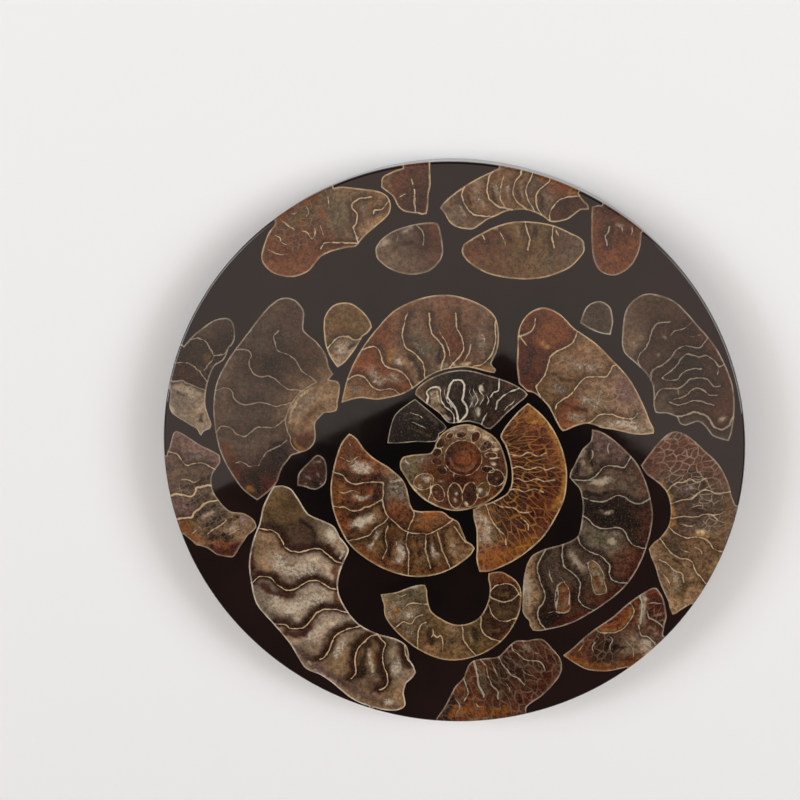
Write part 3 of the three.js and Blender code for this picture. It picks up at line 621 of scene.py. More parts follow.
SLICES["right_centre_slice"] = {
    "slot": "red_fossil",
    "ground": "chestnut",
    "shadow": ("soot", 1.5, 1.1, 0.85),
    "seams": [
        [(24.9, -4.8), (27.8, -4.9), (29.4, -4.6), (30.6, -3.6), (31.6, -2.2), (32.8, -1.6),
         (34.4, -1.8), (36.1, -2), (37, -0.3)],
        [(27.5, -8.4), (28.5, -8.9), (29.9, -9.3), (32, -9.5), (33.5, -8.7), (34.9, -8.1), (36.3, -8.4),
         (37.5, -9.3), (38.7, -9.8), (39.9, -9.7), (40.9, -8.9)],
        [(28.1, -12.7), (29.2, -13.6), (29.9, -14.3), (31.3, -15.2), (33.2, -15.3), (34.9, -15),
         (36.1, -15.5), (37, -16.7), (37.5, -17.9), (38.5, -18.9), (39.9, -19.3), (40.9, -19.6)],
        [(26.9, -17.4), (27.5, -18.9), (29, -20.3), (31.1, -21.2), (32.5, -22), (33.6, -23.4),
         (33.7, -25.3), (34.2, -26.7), (35.4, -27.2), (36.6, -27.2)],
        [(23.7, -19.1), (23.7, -22.2), (24.4, -24.1), (26.1, -25.5), (27.5, -27.2), (27.5, -29.8),
         (27.3, -31), (28, -32.4), (29.4, -33.1), (30.6, -33.6)],
        [(20.1, -20.5), (18.7, -23.4), (18.7, -25.5), (19.4, -27.9), (20.3, -30.3), (19.9, -32.2),
         (19, -33.4), (18.7, -35), (19.2, -36.5), (19.9, -37.4)],
    ],
    "hairs": [
        [(22.8, -28.4), (24, -27.4), (25.2, -29), (25.4, -31.2), (25.4, -33.8), (23.4, -34.4),
         (22.6, -33.4), (23, -31), (22.8, -28.4)],
        [(29, -23), (30.4, -22.6), (32.2, -24.8), (32.6, -27), (33, -29.4), (31, -30), (30.2, -28.4),
         (29.8, -26), (29, -23)],
        [(21.3, -23.6), (20.9, -24.6), (21.6, -27.2), (22.5, -27.9)],
        [(23, -26.2), (24.9, -27.7)],
        [(20.1, -34.8), (21.8, -34.2), (24.2, -34.2)],
        [(30, 5.6), (29, 3), (29.6, 0.6), (28.4, -1.6)],
        [(33.4, 4.2), (32.6, 2), (33.2, 0)],
        [(24.8, -33.9), (25.4, -30.8), (24.9, -27.7)],
        [(22.8, -28.1), (22.4, -31), (22.6, -34)],
    ],
    "chambers": [
        (33, 1.5, "mauve"), (28.7, 0, "cocoa"), (32, -6, "taupe"), (38, -5, "cocoa"),
        (33, -12, "near_black"), (39.5, -14, "umber"), (33, -17.8, "stone"), (37, -23, "chestnut"),
        (30.5, -26.5, "tan"), (24, -30.5, "amber_brown"), (17, -30, "pale_tan"), (29, -35, "chestnut"),
        (21.5, -36.5, "near_black"), (28, -23, "cocoa"), (21.6, -25, "cocoa"), (40, -4, "chestnut"),
        (34, -31, "chestnut"), (39, -20.5, "chestnut"),
    ],
    "strokes": [
        ("pale_tan", 2.0, [(23.9, -28.8), (24.2, -31), (23.6, -33.2)]),
        ("amber_brown", 0.9, [(24, -30), (23.8, -31.8)]),
        ("sand", 2.0, [(30.6, -24.2), (31.6, -26.6), (31, -29)]),
        ("amber_brown", 0.9, [(31, -26), (31.4, -28)]),
        ("pearl", 2.2, [(16, -25.4), (16.4, -29), (16.4, -33.6)]),
        ("chalk", 1.4, [(15.8, -28.6), (15.7, -30)]),
        ("pearl", 1.7, [(25.4, -20.6), (26.6, -22.8), (28.4, -24.4)]),
        ("grey_olive", 2.6, [(28.8, -16.4), (32.6, -18), (36.4, -18.2)]),
        ("chalk", 1.2, [(33.4, -17.8), (34.6, -18.4)]),
        ("pearl", 0.9, [(30, -11.6), (32, -12), (34, -11.6)]),
        ("near_black", 3.2, [(36, -12), (38, -14.4)]),
        ("sand", 1.1, [(28, 3.6), (27.2, 1), (27.8, -1.6), (29.4, -3)]),
        ("near_black", 0.9, [(29.4, 3), (28.8, 0.6), (29.6, -1.8)]),
        ("near_black", 0.9, [(26.6, -1.4), (26.4, -3.4)]),
        ("chalk", 1.5, [(29, -5.4), (31.4, -5.2), (33.4, -4.6)]),
        ("stone", 0.9, [(34.8, -5.6), (36.4, -6.4)]),
        ("near_black", 1.4, [(28.4, -7.4), (31, -8), (34, -7.2)]),
        ("near_black", 2.0, [(29.4, -10.8), (31.8, -13.4)]),
        ("near_black", 1.4, [(35.4, -13), (37.2, -14.6)]),
        ("oxblood", 2.6, [(42.4, -10), (42.2, -17), (39.4, -24), (34.6, -30.4), (28.6, -35.4),
                          (21.6, -38.2)]),
        ("umber", 1.4, [(21, -32.6), (20.8, -35)]),
        ("umber", 1.2, [(26.2, -29), (26.4, -32)]),
        ("russet", 1.2, [(41.6, -4), (42.6, -7.6)]),
        ("soot", 1.0, [(21, -29), (21.6, -31)]),
    ],
}

SLICES["centre_left_amber_slice"] = {
    "slot": "amber_fossil",
    "ground": "amber_brown",
    "shadow": ("umber", 1.3, 1.3, 0.8),
    "gain": 0.76,
    "seams": [
        [(-24.1, -4.2), (-22.5, -4.8), (-21.5, -5.9), (-20.1, -6.5), (-18.7, -6.4), (-16.8, -6.2),
         (-15.3, -6.1), (-13.9, -6.2)],
        [(-23.9, -11.7), (-22, -11.8), (-20.6, -12.5), (-18.9, -12.3), (-17.7, -11.6),
         (-16.3, -11.2), (-15.1, -10.3), (-14.4, -9.8)],
        [(-21, -19.1), (-19.1, -18.6), (-17.2, -17.9), (-15.6, -16.2), (-13.9, -15), (-13.2, -14.1)],
        [(-13.9, -6.2), (-13.9, -8.4), (-14, -10.8), (-13.3, -13.1), (-12.2, -14.3), (-10.6, -15.8),
         (-8.7, -17), (-6.3, -17.2), (-4.4, -17.2), (-2.2, -16.2), (-0.1, -14.8)],
        [(-10.1, -5), (-8.8, -7.7), (-8.2, -10.3), (-7.5, -11.7), (-7.5, -13.4), (-8.2, -15),
         (-8.7, -16.5)],
        [(-8.7, -17), (-9.2, -19.5), (-8.6, -22), (-8.8, -25.5)],
        [(-13, -15.6), (-13.6, -18), (-13.2, -20.4), (-14.2, -23)],
        [(-5, -17.5), (-5, -21), (-4, -25)],
        [(-2.5, -17), (-1.5, -21), (0, -24.5)],
        [(1, -15.5), (2.2, -17.4), (3.4, -19)],
    ],
    "hairs": [
        [(-22.4, -1), (-20.6, -1.6), (-19.2, -0.6), (-17.8, -1.4)],
        [(-24, -8), (-22.2, -8.6), (-20.4, -8), (-18.4, -8.8)],
        [(-21.4, 3), (-20.6, 1.4), (-21.2, 0)],
        [(-11.4, -18), (-11.2, -20.6), (-11.8, -23.4)],
    ],
    "chambers": [
        (-21.5, 1, "russet"), (-17, -3, "amber_brown"), (-18, -8.5, "amber_brown"),
        (-22, -14.5, "amber_brown"), (-17, -14.5, "tan"), (-15.4, -19, "olive_brown"),
        (-11, -21.5, "tan"), (-7, -22, "olive_brown"), (-3.4, -21, "olive_brown"), (1.5, -21, "tan"),
        (-11, -8, "stone"), (-11, -12.5, "russet"), (-4.5, -14.5, "amber"), (-19, -21, "olive_brown"),
        (-10.6, -7, "grey_olive"),
    ],
    "strokes": [
        ("pearl", 2.4, [(-20.6, -2), (-18.4, -3.4), (-16, -3.2)]),
        ("umber", 1.4, [(-22, -4.2), (-18.4, -5.2), (-14.8, -4.8)]),
        ("pearl", 1.1, [(-20.4, -9), (-18.6, -9.8), (-16.6, -9.4)]),
        ("russet", 1.6, [(-20, -7), (-17.4, -7.8)]),
        ("umber", 1.6, [(-23, -10.6), (-19.6, -11.2), (-15.6, -9.6)]),
        ("chalk", 2.2, [(-20.6, -16), (-18.6, -15), (-16, -13.2)]),
        ("umber", 1.8, [(-22, -13.6), (-19.6, -13.4), (-16.8, -12.4)]),
        ("pearl", 1.1, [(-17.4, -21.2), (-16.2, -19.4), (-14.8, -16.8)]),
        ("pearl", 2.4, [(-11, -24), (-10.2, -21.8), (-10, -19.6)]),
        ("pale_tan", 2.0, [(-5.4, -19), (-5.2, -21.8), (-5, -24)]),
        ("pearl", 1.6, [(-3.4, -19.6), (-3, -22.4)]),
        ("sand", 1.2, [(0.4, -19), (1.2, -21.6)]),
        ("umber", 1.0, [(-12, -16.8), (-12.4, -20), (-13, -23)]),
        ("umber", 1.0, [(-4.8, -18.4), (-4.6, -22)]),
        ("umber", 0.9, [(-1.4, -17.4), (-0.8, -21)]),
        ("stone", 3.4, [(-10.6, -6.2), (-10.8, -8.6)]),
        ("stone", 2.4, [(-11.8, -7), (-10, -9)]),
        ("pearl", 0.7, [(-12.6, -6), (-9.6, -5.4)]),
        ("tan", 2.0, [(-7, -13.2), (-4.8, -15), (-2, -14)]),
        ("honey", 1.0, [(-22.8, -6.8), (-23.6, -10.6)]),
        ("honey", 1.0, [(-14.2, 1.8), (-16.6, 3.4)]),
        ("umber", 1.2, [(-21.6, -17.4), (-19.6, -16.6)]),
        ("umber", 1.2, [(-12.4, -16.6), (-11, -18.4)]),
        ("umber", 0.9, [(-7, -18.4), (-6.4, -22)]),
        ("umber", 0.9, [(-3.2, -18.2), (-2.6, -21)]),
        ("umber", 1.4, [(-15.2, -7.6), (-15.4, -9.4)]),
        ("amber_brown", 2.2, [(-23, 0), (-24.4, -4), (-24.6, -10), (-22.8, -14.6)]),
        ("amber_brown", 1.4, [(-19.4, -20.4), (-14.6, -23.8), (-8, -25.4), (-1, -24.8)]),
    ],
}

SLICES["left_lower_slice"] = {
    "slot": "mauve_fossil",
    "ground": "taupe",
    "shadow": ("umber", 1.1, 0.7, 0.6),
    "net": {"angle": 30, "long": 1.8, "short": 1.1, "strength": 0.35,
            "areas": [(-55, -9, 3.4), (-50, -14.5, 4.6), (-45, -17, 3)]},
    "seams": [
        [(-58.4, -0.4), (-57.5, -0.6), (-56.9, -1.7), (-55.6, -3.1), (-54.6, -2.8), (-52.5, -2.5),
         (-51, -3.1), (-49.6, -3.9)],
        [(-51.8, -18.4), (-50.6, -17.4), (-48.7, -16.2), (-47.5, -15)],
    ],
    "bold": [
        [(-59.6, -10), (-58.4, -9.5), (-56.8, -9.7), (-55.3, -10), (-54.4, -9.6), (-53.7, -8.1),
         (-53, -7.9), (-51.5, -7.4), (-50.3, -7.4)],
        [(-58.2, -15), (-56.3, -14.8), (-55.1, -14.6), (-54.4, -13.4), (-53, -12.4), (-51.5, -11.2),
         (-49.6, -10.8)],
    ],
    "hairs": [
        [(-57.6, -6.6), (-55.8, -6.2), (-54.2, -6.8), (-52.6, -5.8)],
        [(-47.4, -18.6), (-45.6, -17.4), (-43.8, -16.8)],
        [(-55.6, -18.6), (-54, -17.4), (-52.6, -16.4)],
    ],
    "chambers": [
        (-54, 2, "mauve"), (-56.5, -3.5, "taupe"), (-53, -5, "taupe"), (-52, -9.6, "taupe"),
        (-57, -12.5, "mauve"), (-56, -17.5, "tan"), (-50, -14, "cocoa"), (-46.5, -17, "pale_tan"),
        (-48, -21.5, "russet"),
    ],
    "strokes": [
        ("stone", 2.4, [(-54, -0.6), (-52, -1.4)]),
        ("mauve", 2.0, [(-54.4, 4.6), (-50, 3.2)]),
        ("mauve", 1.8, [(-58.6, 1.6), (-59.6, -4.8)]),
        ("pearl", 1.2, [(-51.6, -9), (-49.6, -9)]),
        ("pearl", 1.1, [(-52.8, -14.6), (-50.4, -13)]),
        ("pearl", 1.3, [(-47.6, -17.4), (-45.2, -16.4)]),
        ("lilac", 1.5, [(-43.8, -15)]),
        ("amber", 1.9, [(-56.6, -16.8), (-54.4, -19.6)]),
        ("oxblood", 2.0, [(-51.4, -21.6), (-48, -22.4), (-45, -20.8)]),
        ("umber", 1.0, [(-56.6, -8), (-54, -7.2), (-52, -6)]),
        ("umber", 1.3, [(-55.6, -11.8), (-53, -10.2), (-50.6, -8.8)]),
        ("soot", 1.1, [(-54.4, -15), (-52.2, -13.2), (-49.8, -12.2)]),
        ("soot", 1.1, [(-52, -16.6), (-49.6, -14.8), (-47.8, -13.6)]),
        ("soot", 1.3, [(-51.6, -19.6), (-49, -18.6), (-46.6, -18.8)]),
        ("soot", 1.0, [(-46.8, -15.2), (-45.2, -14.4)]),
        ("umber", 1.0, [(-51.2, -5.8), (-50, -5.4)]),
        ("soot", 0.8, [(-49, -18), (-47.6, -19.6)]),
    ],
}

SLICES["lower_left_great_slice"] = {
    "slot": "pearly_fossil",
    "ground": "sand",
    "shadow": ("umber", 2.8, 1.1, 1.0),
    "mottle": 0.45,
    "cloud_size": 2.6,
    "seams": [
        [(-39.5, -17.1), (-38, -17.1), (-36.8, -17.9), (-36, -19.1), (-35.1, -20.8), (-33.9, -21.7),
         (-32.2, -22), (-30.8, -21.7), (-29, -21.1), (-27.5, -21.2), (-26.3, -22.2), (-24.9, -23.4),
         (-23.7, -24.1)],
        [(-41.5, -28.3), (-40.6, -27.8), (-38.9, -27.8), (-38, -28.4), (-37, -29.6), (-35.8, -30.4),
         (-34.4, -30.8), (-33, -30.3), (-31.8, -29.5), (-30.6, -28.6), (-29.6, -28.4), (-28, -28.4),
         (-26.8, -29.2), (-25.6, -29.9), (-24.4, -30.2)],
        [(-36.8, -38.6), (-35.6, -38.7), (-34.4, -39.5), (-32.2, -39.5), (-31, -38.7), (-29.9, -37.4),
         (-28.7, -35.9), (-27.7, -35.2), (-26.3, -34.9), (-24.6, -34.9), (-23, -35.2)],
        [(-28.3, -46.6), (-27.2, -46), (-26.2, -44.6), (-25.7, -42.9), (-25.1, -41.5), (-24.1, -40.4),
         (-22.7, -39.7), (-21.5, -39.2), (-20.1, -38.7)],
        [(-21.5, -51), (-20.8, -50.3), (-20.3, -48.9), (-20.5, -46.7), (-20.1, -44.6), (-19.4, -43.1),
         (-18.2, -42), (-17, -40.9), (-15.8, -40.5)],
        [(-15.3, -53.4), (-14.1, -52.7), (-13.5, -51.5), (-13.5, -49.8), (-14.1, -48.1),
         (-14.4, -46.2), (-14.3, -44.3), (-13.8, -42.7), (-14.4, -41.7), (-15.3, -40.8)],
        [(-8.7, -46.5), (-9.6, -44.5), (-9.6, -42.7)],
    ],
    "chambers": [
        (-35, -12, "olive_brown"), (-30, -17.5, "dark_brown"), (-25.5, -18, "sand"),
        (-38.5, -22, "pale_tan"), (-30, -25, "pearl"), (-34, -26, "sand"), (-38, -33, "stone"),
        (-28, -32.5, "pearl"), (-33, -35, "pearl"), (-29, -41.5, "sand"), (-23.5, -45, "pale_tan"),
        (-24, -38, "pearl"), (-17.5, -46, "tan"), (-18, -50, "taupe"), (-12, -46, "sand"),
        (-13, -56.5, "pale_tan"),
    ],
    "strokes": [
        ("lilac", 1.9, [(-33.6, -43.6), (-29.8, -47.8), (-25, -51.8)]),
        ("pearl", 1.1, [(-34, -42.6), (-30, -47.4), (-25, -51.4)]),
        ("umber", 1.8, [(-42.6, -22), (-42.4, -25.6)]),
        ("chalk", 1.6, [(-29.6, -31.8), (-26.6, -33)]),
        ("olive_brown", 3.0, [(-38, -14), (-33, -11.4), (-29.6, -13)]),
        ("chalk", 2.4, [(-25.6, -16.6), (-25, -19.4)]),
        ("oxblood", 1.6, [(-42.4, -19), (-43, -22.6), (-42.6, -26)]),
        ("soot", 2.2, [(-19.2, -50), (-18.8, -46.4), (-17.6, -43)]),
        ("pearl", 0.9, [(-17.5, -44), (-16.5, -50)]),
        ("soot", 1.2, [(-12.6, -50.6), (-13, -47.4)]),
        ("mauve", 1.7, [(-33, -44.4), (-27, -49.4), (-19, -54.4), (-11.5, -57.4)]),
        ("pearl", 1.6, [(-14.4, -56), (-12, -56.2)]),
        ("pearl", 0.7, [(-22.4, -21.4), (-23.4, -23.6)]),
        ("pearl", 0.8, [(-30.3, -11.5)]),
        ("soot", 0.9, [(-31.6, -15), (-29.4, -16.4), (-28.6, -18.8)]),
        ("pearl", 3.6, [(-39, -22.6), (-35, -25.8), (-31, -25.8), (-27, -26.4)]),
        ("pearl", 3.8, [(-40, -31.6), (-35, -34.4), (-30.6, -33), (-27, -32.6)]),
        ("chalk", 2.4, [(-35, -35.4), (-32.6, -34.6)]),
        ("pearl", 3.0, [(-32, -42.6), (-29, -40.4), (-26.4, -37.6)]),
        ("pearl", 2.6, [(-25, -46.6), (-24, -43.8), (-22, -42)]),
        ("pearl", 2.2, [(-11.6, -50), (-11.2, -46)]),
        ("russet", 1.6, [(-25.6, -20.6), (-24.6, -24.6), (-24, -28)]),
        ("russet", 1.6, [(-24.4, -31.6), (-23.8, -34)]),
        ("oxblood", 1.8, [(-40.6, -29.6), (-37.4, -31.6), (-34, -32)]),
        ("oxblood", 1.6, [(-36, -40.6), (-32.4, -41), (-30, -39)]),
    ],
}

SLICES["small_red_fragment"] = {
    "slot": "red_fossil",
    "ground": "oxblood",
    "chambers": [(-29, -5, "umber")],
    "strokes": [
        ("sand", 0.7, [(-28.6, -2), (-27, -1.8)]),
        ("oxblood", 1.6, [(-28.2, -3.4), (-28.6, -4.4)]),
        ("pearl", 0.3, [(-30.4, -6.6), (-30, -6.8)]),
        ("pearl", 0.3, [(-27.4, -7), (-27, -6.6)]),
        ("lilac", 0.6, [(-30.2, -5), (-29.4, -5.6)]),
        ("lilac", 0.5, [(-27.8, -4.4), (-27.4, -5.2)]),
        ("near_black", 1.2, [(-28.4, -6.4), (-27.4, -7.2)]),
    ],
}

SLICES["lower_centre_olive_slice"] = {
    "slot": "olive_fossil",
    "ground": "olive_brown",
    "shadow": ("umber", 0.8, 0.8, 0.55),
    "seams": [
        [(-9.9, -34.3), (-8.9, -33.4), (-7.5, -33), (-5.1, -33.1)],
        [(-6.8, -42.4), (-6.8, -40.3), (-6.3, -38.1), (-5.1, -37.2)],
        [(-3.5, -40), (-2.6, -40.8), (-1.8, -40.3), (-1.4, -41.8), (-1.5, -43.6)],
        [(2.7, -38.4), (2.9, -39.3), (3, -40.8), (4, -42.7), (5.1, -43.9)],
        [(6.8, -35.8), (6.7, -37.9), (7.3, -39.6), (8.7, -40.5), (10.4, -41.1)],
        [(8.5, -33.4), (9, -34.8), (10.1, -36.2), (11.6, -36.6), (13.2, -36.2), (14.2, -35.8)],
        [(8.5, -31), (9.9, -31.8), (11.3, -32.2), (13.2, -31.8), (14.4, -30.5)],
        [(9, -29.3), (10.4, -28.4), (12, -28.1), (13.5, -28.4), (14.4, -29.6)],
        [(-11.6, -38.6), (-10, -37.4), (-8.2, -37.8), (-7.2, -36.2), (-5.8, -35.6)],
    ],
    "hairs": [
        [(-4.6, -41.2), (-3.5, -40), (-3.8, -38.4)],
        [(-11.8, -31), (-10.2, -31.4), (-8.8, -30.6)],
    ],
    "chambers": [
        (-7.5, -30.8, "grey_olive"), (-8.5, -35.4, "sand"), (-4.3, -41.6, "tan"),
        (-10, -40.3, "tan"), (0.6, -41.2, "tan"), (5.5, -40.5, "olive_brown"),
        (9.5, -38.3, "umber"), (11.5, -34.3, "dark_brown"), (11.5, -30.1, "umber"),
        (-3.4, -36.4, "olive_brown"), (12, -26.6, "russet"),
    ],
    "strokes": [
        ("chalk", 0.8, [(-9.9, -30), (-8.4, -29.2), (-7, -29.2)]),
        ("pearl", 1.7, [(-9.6, -35.6), (-7.6, -36)]),
        ("honey", 0.9, [(-11.8, -35.6), (-11, -34.4)]),
        ("stone", 1.8, [(-9.4, -38.6), (-7.6, -40.6)]),
        ("umber", 1.6, [(-4.6, -39.6), (-3.8, -41.6)]),
        ("stone", 1.1, [(-5.6, -37.8), (-4.4, -38.4)]),
        ("soot", 1.8, [(5, -38.4), (5.8, -41)]),
        ("grey_olive", 1.6, [(0, -42.2), (1.4, -40.4)]),
        ("russet", 1.2, [(-9, -42.4), (-6.4, -43.8)]),
        ("olive_brown", 1.6, [(0.2, -41)]),
        ("sand", 0.6, [(-0.8, -38.8), (1.4, -39.2)]),
        ("tan", 1.1, [(-13.2, -37), (-8.4, -41.6), (-2, -44.6), (4.6, -45)]),
        ("russet", 1.2, [(6, -44.4), (11.6, -40.6), (15, -35), (15.8, -29)]),
        ("olive_brown", 0.9, [(8.4, -39), (10.6, -38.8)]),
        ("olive_brown", 0.9, [(10.4, -34.9), (12.8, -34.5)]),
        ("olive_brown", 0.8, [(10.6, -30.6), (12.4, -30.6)]),
        ("sand", 0.5, [(4.2, -39.4), (4.9, -41.6)]),
    ],
}

SLICES["bottom_red_slice"] = {
    "slot": "red_fossil",
    "ground": "umber",
    "shadow": ("umber", 0.8, 0.8, 0.5),
    "net": {"angle": -55, "long": 3.4, "short": 1.5, "strength": 0.42},
    "seams": [
        [(7, -46), (8, -47.4), (8.5, -49.8), (9.4, -51.7), (10.4, -52.9), (10.5, -54.6)],
        [(10.6, -44.8), (11.3, -46.5), (12.3, -47.7), (13.5, -49.1), (15.1, -49.8), (16.1, -51.2)],
        [(13.5, -41.5), (13.5, -43.1), (14.7, -44.1), (16.1, -45.3), (17.5, -45.5), (19.2, -45.5),
         (20.1, -46.5), (20.6, -47.7)],
        [(3, -50), (3.7, -52.2), (4, -53.6), (3.2, -55.4)],
    ],
    "bold": [[(5.1, -45.5), (5.6, -47.4), (6.1, -49.8), (6.3, -51.7), (7.3, -53.4), (7.5, -54.3)]],
    "hairs": [
        [(11.8, -50.4), (13, -52.2), (12.6, -54.2)],
        [(15.2, -47), (16.4, -48.4), (18.4, -49.2)],
        [(5.2, -54.8), (6.4, -56.6), (8.4, -56.4)],
        [(9, -46), (10.2, -48.6), (11.6, -50)],
        [(1, -54.4), (2.2, -56.6), (1.6, -58.4)],
        [(17.6, -43.6), (19.4, -43.8)],
    ],
    "chambers": [
        (14.5, -47.4, "umber"), (19, -49, "chestnut"), (10, -56, "chestnut"), (4.4, -57, "amber_brown"),
        (9.8, -50, "dark_brown"), (16.5, -43, "chestnut"), (2, -52, "russet"), (12, -45.6, "umber"),
        (15.5, -53, "chestnut"), (6.6, -48, "russet"),
    ],
    "strokes": [
        ("sand", 1.2, [(16, -42), (17.4, -43.2)]),
        ("sand", 0.5, [(4, -59.6), (9, -59.2)]),
        ("amber", 2.4, [(1, -58.2), (6, -58), (12, -57.2)]),
        ("oxblood", 2.6, [(21.4, -45), (19.4, -51), (15.6, -55)]),
        ("grey_olive", 0.9, [(5.9, -46.6), (7, -50.4), (8.2, -53.4)]),
        ("mauve", 1.0, [(13.4, -45.6), (15, -46.6)]),
        ("taupe", 0.8, [(17.6, -47.6), (19, -47.8)]),
        ("taupe", 0.8, [(11.2, -53), (11, -55)]),
    ],
}

SLICES["bottom_right_slice"] = {
    "slot": "red_fossil",
    "ground": "umber",
    "shadow": ("soot", 0.8, 0.8, 0.5),
    "net": {"angle": 60, "long": 2.6, "short": 1.3, "strength": 0.45,
            "areas": [(32, -42, 5), (44, -35, 3)]},
    "seams": [
        [(31.1, -37.9), (31.8, -38.4), (33.5, -38.7), (35.4, -38.4), (36.8, -37.7), (37.8, -36.5),
         (38.5, -35), (39, -33.6), (38.5, -32.2), (38, -31.7)],
        [(40.1, -36.7), (40.6, -38.9), (42, -39.3), (43.4, -40.4)],
        [(41.8, -33.6), (42.3, -35), (44.2, -36), (45.1, -37.2)],
    ],
    "bold": [
        [(40, -29.8), (40.6, -31.6), (40.6, -34.2), (40.4, -36.4)],
    ],
    "hairs": [
        [(31.1, -38.9), (31.7, -40.3), (30.5, -41.7), (31, -44.3)],
        [(33.1, -38.9), (34.7, -40.3), (34.2, -42), (35.1, -43.9)],
        [(36.8, -38.9), (37.5, -40.5), (39.1, -42.2), (39.2, -44.3)],
        [(41.5, -32), (43.4, -31.6), (45.6, -31.9)],
        [(28.6, -39.6), (28.4, -41.6), (27, -43.6)],
    ],
    "chambers": [
        (34.5, -36.8, "amber_brown"), (32.5, -42.5, "umber"), (39.6, -33, "amber_brown"),
        (44, -33.4, "oxblood"), (43.4, -37, "chestnut"), (41.6, -41.8, "sand"), (28, -41, "russet"),
    ],
    "strokes": [
        ("honey", 0.8, [(32, -38.2), (35.4, -38), (38, -35.4), (38.4, -32.4)]),
        ("umber", 0.9, [(33.6, -36.2), (35.6, -35.6)]),
        ("pearl", 1.6, [(40.8, -29.6), (41, -32.2), (41, -34.2), (40.6, -36.2)]),
        ("chalk", 0.8, [(41, -30.4), (41.1, -33)]),
        ("chalk", 1.6, [(40.8, -40.4), (42.4, -40.6), (42.4, -41.8)]),
        ("amber", 2.0, [(24, -43.7), (28, -46), (31.6, -46.9), (35.9, -46.4), (39, -45.2)]),
        ("honey", 0.9, [(24.6, -44.5), (28, -46.9), (31.6, -47.8), (35.9, -47.3), (39, -46.2)]),
        ("sand", 0.5, [(42.4, -37), (43.4, -37.8)]),
        ("sand", 0.5, [(43.6, -34.4), (44.6, -34.2)]),
        ("lilac", 0.6, [(43.4, -38.6), (44, -38.4)]),
        ("russet", 1.6, [(37, -44.6), (40.4, -43.4)]),
        ("near_black", 1.4, [(33.4, -41), (36.6, -42)]),
    ],
}

SLICES["top_left_mottled_slice"] = {
    "slot": "brown_fossil",
    "ground": "olive_brown",
    "net": {"angle": 10, "long": 1.7, "short": 1.3, "strength": 0.5, "areas": [(-31, 48, 6)]},
    "seams": [
        [(-15.5, 53.5), (-18.4, 53), (-19.6, 51.5), (-18.6, 50.1), (-18.7, 48.3), (-19.3, 47.3),
         (-18.7, 45.3)],
        [(-12.8, 52), (-13.5, 51), (-15, 50.8), (-15.3, 50.1)],
        [(-26, 43.2), (-24.9, 44.3), (-22, 44.3), (-18.7, 44.3)],
    ],
    "hairs": [
        [(-26.3, 48.7), (-25.7, 46.8), (-25.3, 44.9)],
        [(-24.4, 53), (-24.1, 51.3), (-23, 50.3)],
        [(-33.9, 48.7), (-32.5, 47.7), (-31.3, 46.8), (-31.8, 45.3)],
        [(-35.6, 46), (-34.4, 45.3), (-34.1, 44.4), (-33, 43.8), (-31, 43.8)],
        [(-30.1, 46.5), (-29.1, 46.5), (-27.7, 44.9)],
        [(-27.7, 47.7), (-27, 46.8), (-27.7, 44.9)],
        [(-29.4, 52.4), (-28.4, 50.6), (-29, 49)],
        [(-33, 50.4), (-31.4, 50), (-30, 51)],
        [(-36.4, 42.6), (-34, 41.8), (-31.8, 42.2)],
    ],
    "chambers": [
        (-32, 49.5, "olive_brown"), (-21.5, 49.5, "grey_olive"), (-16, 51.5, "tan"),
        (-28, 44, "russet"), (-23, 43, "russet"), (-16, 47, "pale_tan"), (-34, 44, "russet"),
    ],
    "strokes": [
        ("gold", 1.0, [(-14, 49.5), (-13.4, 49)]),
        ("chalk", 0.9, [(-18.6, 45.4)]),
        ("grey_olive", 3.2, [(-23, 52), (-21.6, 48), (-22.4, 45.6)]),
        ("stone", 1.2, [(-17.4, 52), (-17, 50)]),
        ("amber_brown", 1.6, [(-34.6, 48.4), (-31, 51.4), (-27, 53.4)]),
        ("amber_brown", 1.4, [(-30, 48.4), (-29, 45.4)]),
        ("soot", 0.7, [(-20, 50.6), (-19.8, 48.4)]),
        ("amber", 1.0, [(-26, 51), (-25.4, 49.6)]),
    ],
}

SLICES["top_brown_slice"] = {
    "slot": "brown_fossil",
    "ground": "chestnut",
    "seams": [[(-7, 55.1), (-7, 53), (-6.8, 50.3)]],
    "hairs": [
        [(-9.6, 53.7), (-8.7, 54.1), (-7.5, 53.7)],
        [(-7.7, 57.7), (-7.3, 56), (-7, 55.1)],
    ],
    "chambers": [(-9, 56, "chestnut"), (-5.4, 54, "umber")],
    "strokes": [
        ("tan", 1.5, [(-12.4, 56.8), (-12, 55.4)]),
        ("russet", 1.6, [(-9, 58), (-9.6, 55)]),
        ("sand", 0.5, [(-3.9, 57.6), (-3.9, 54), (-4.4, 50)]),
    ],
}

SLICES["upper_arc_slice"] = {
    "slot": "grey_brown_fossil",
    "ground": "cocoa",
    "seams": [[(-6.8, 48), (-5.6, 46.8), (-5.1, 45.3), (-5.3, 43.7)]],
    "hairs": [[(-11.6, 47.4), (-10.4, 45.8), (-10.8, 44)]],
    "chambers": [(-9, 45.5, "cocoa"), (-3.6, 46.4, "chestnut"), (-13, 43, "taupe")],
    "strokes": [
        ("pearl", 1.0, [(-9.4, 46.5), (-7.5, 47.4)]),
        ("pearl", 1.3, [(-14.4, 43.5), (-12.4, 44.7)]),
        ("umber", 1.0, [(-9, 44.2), (-7, 44.6)]),
    ],
}

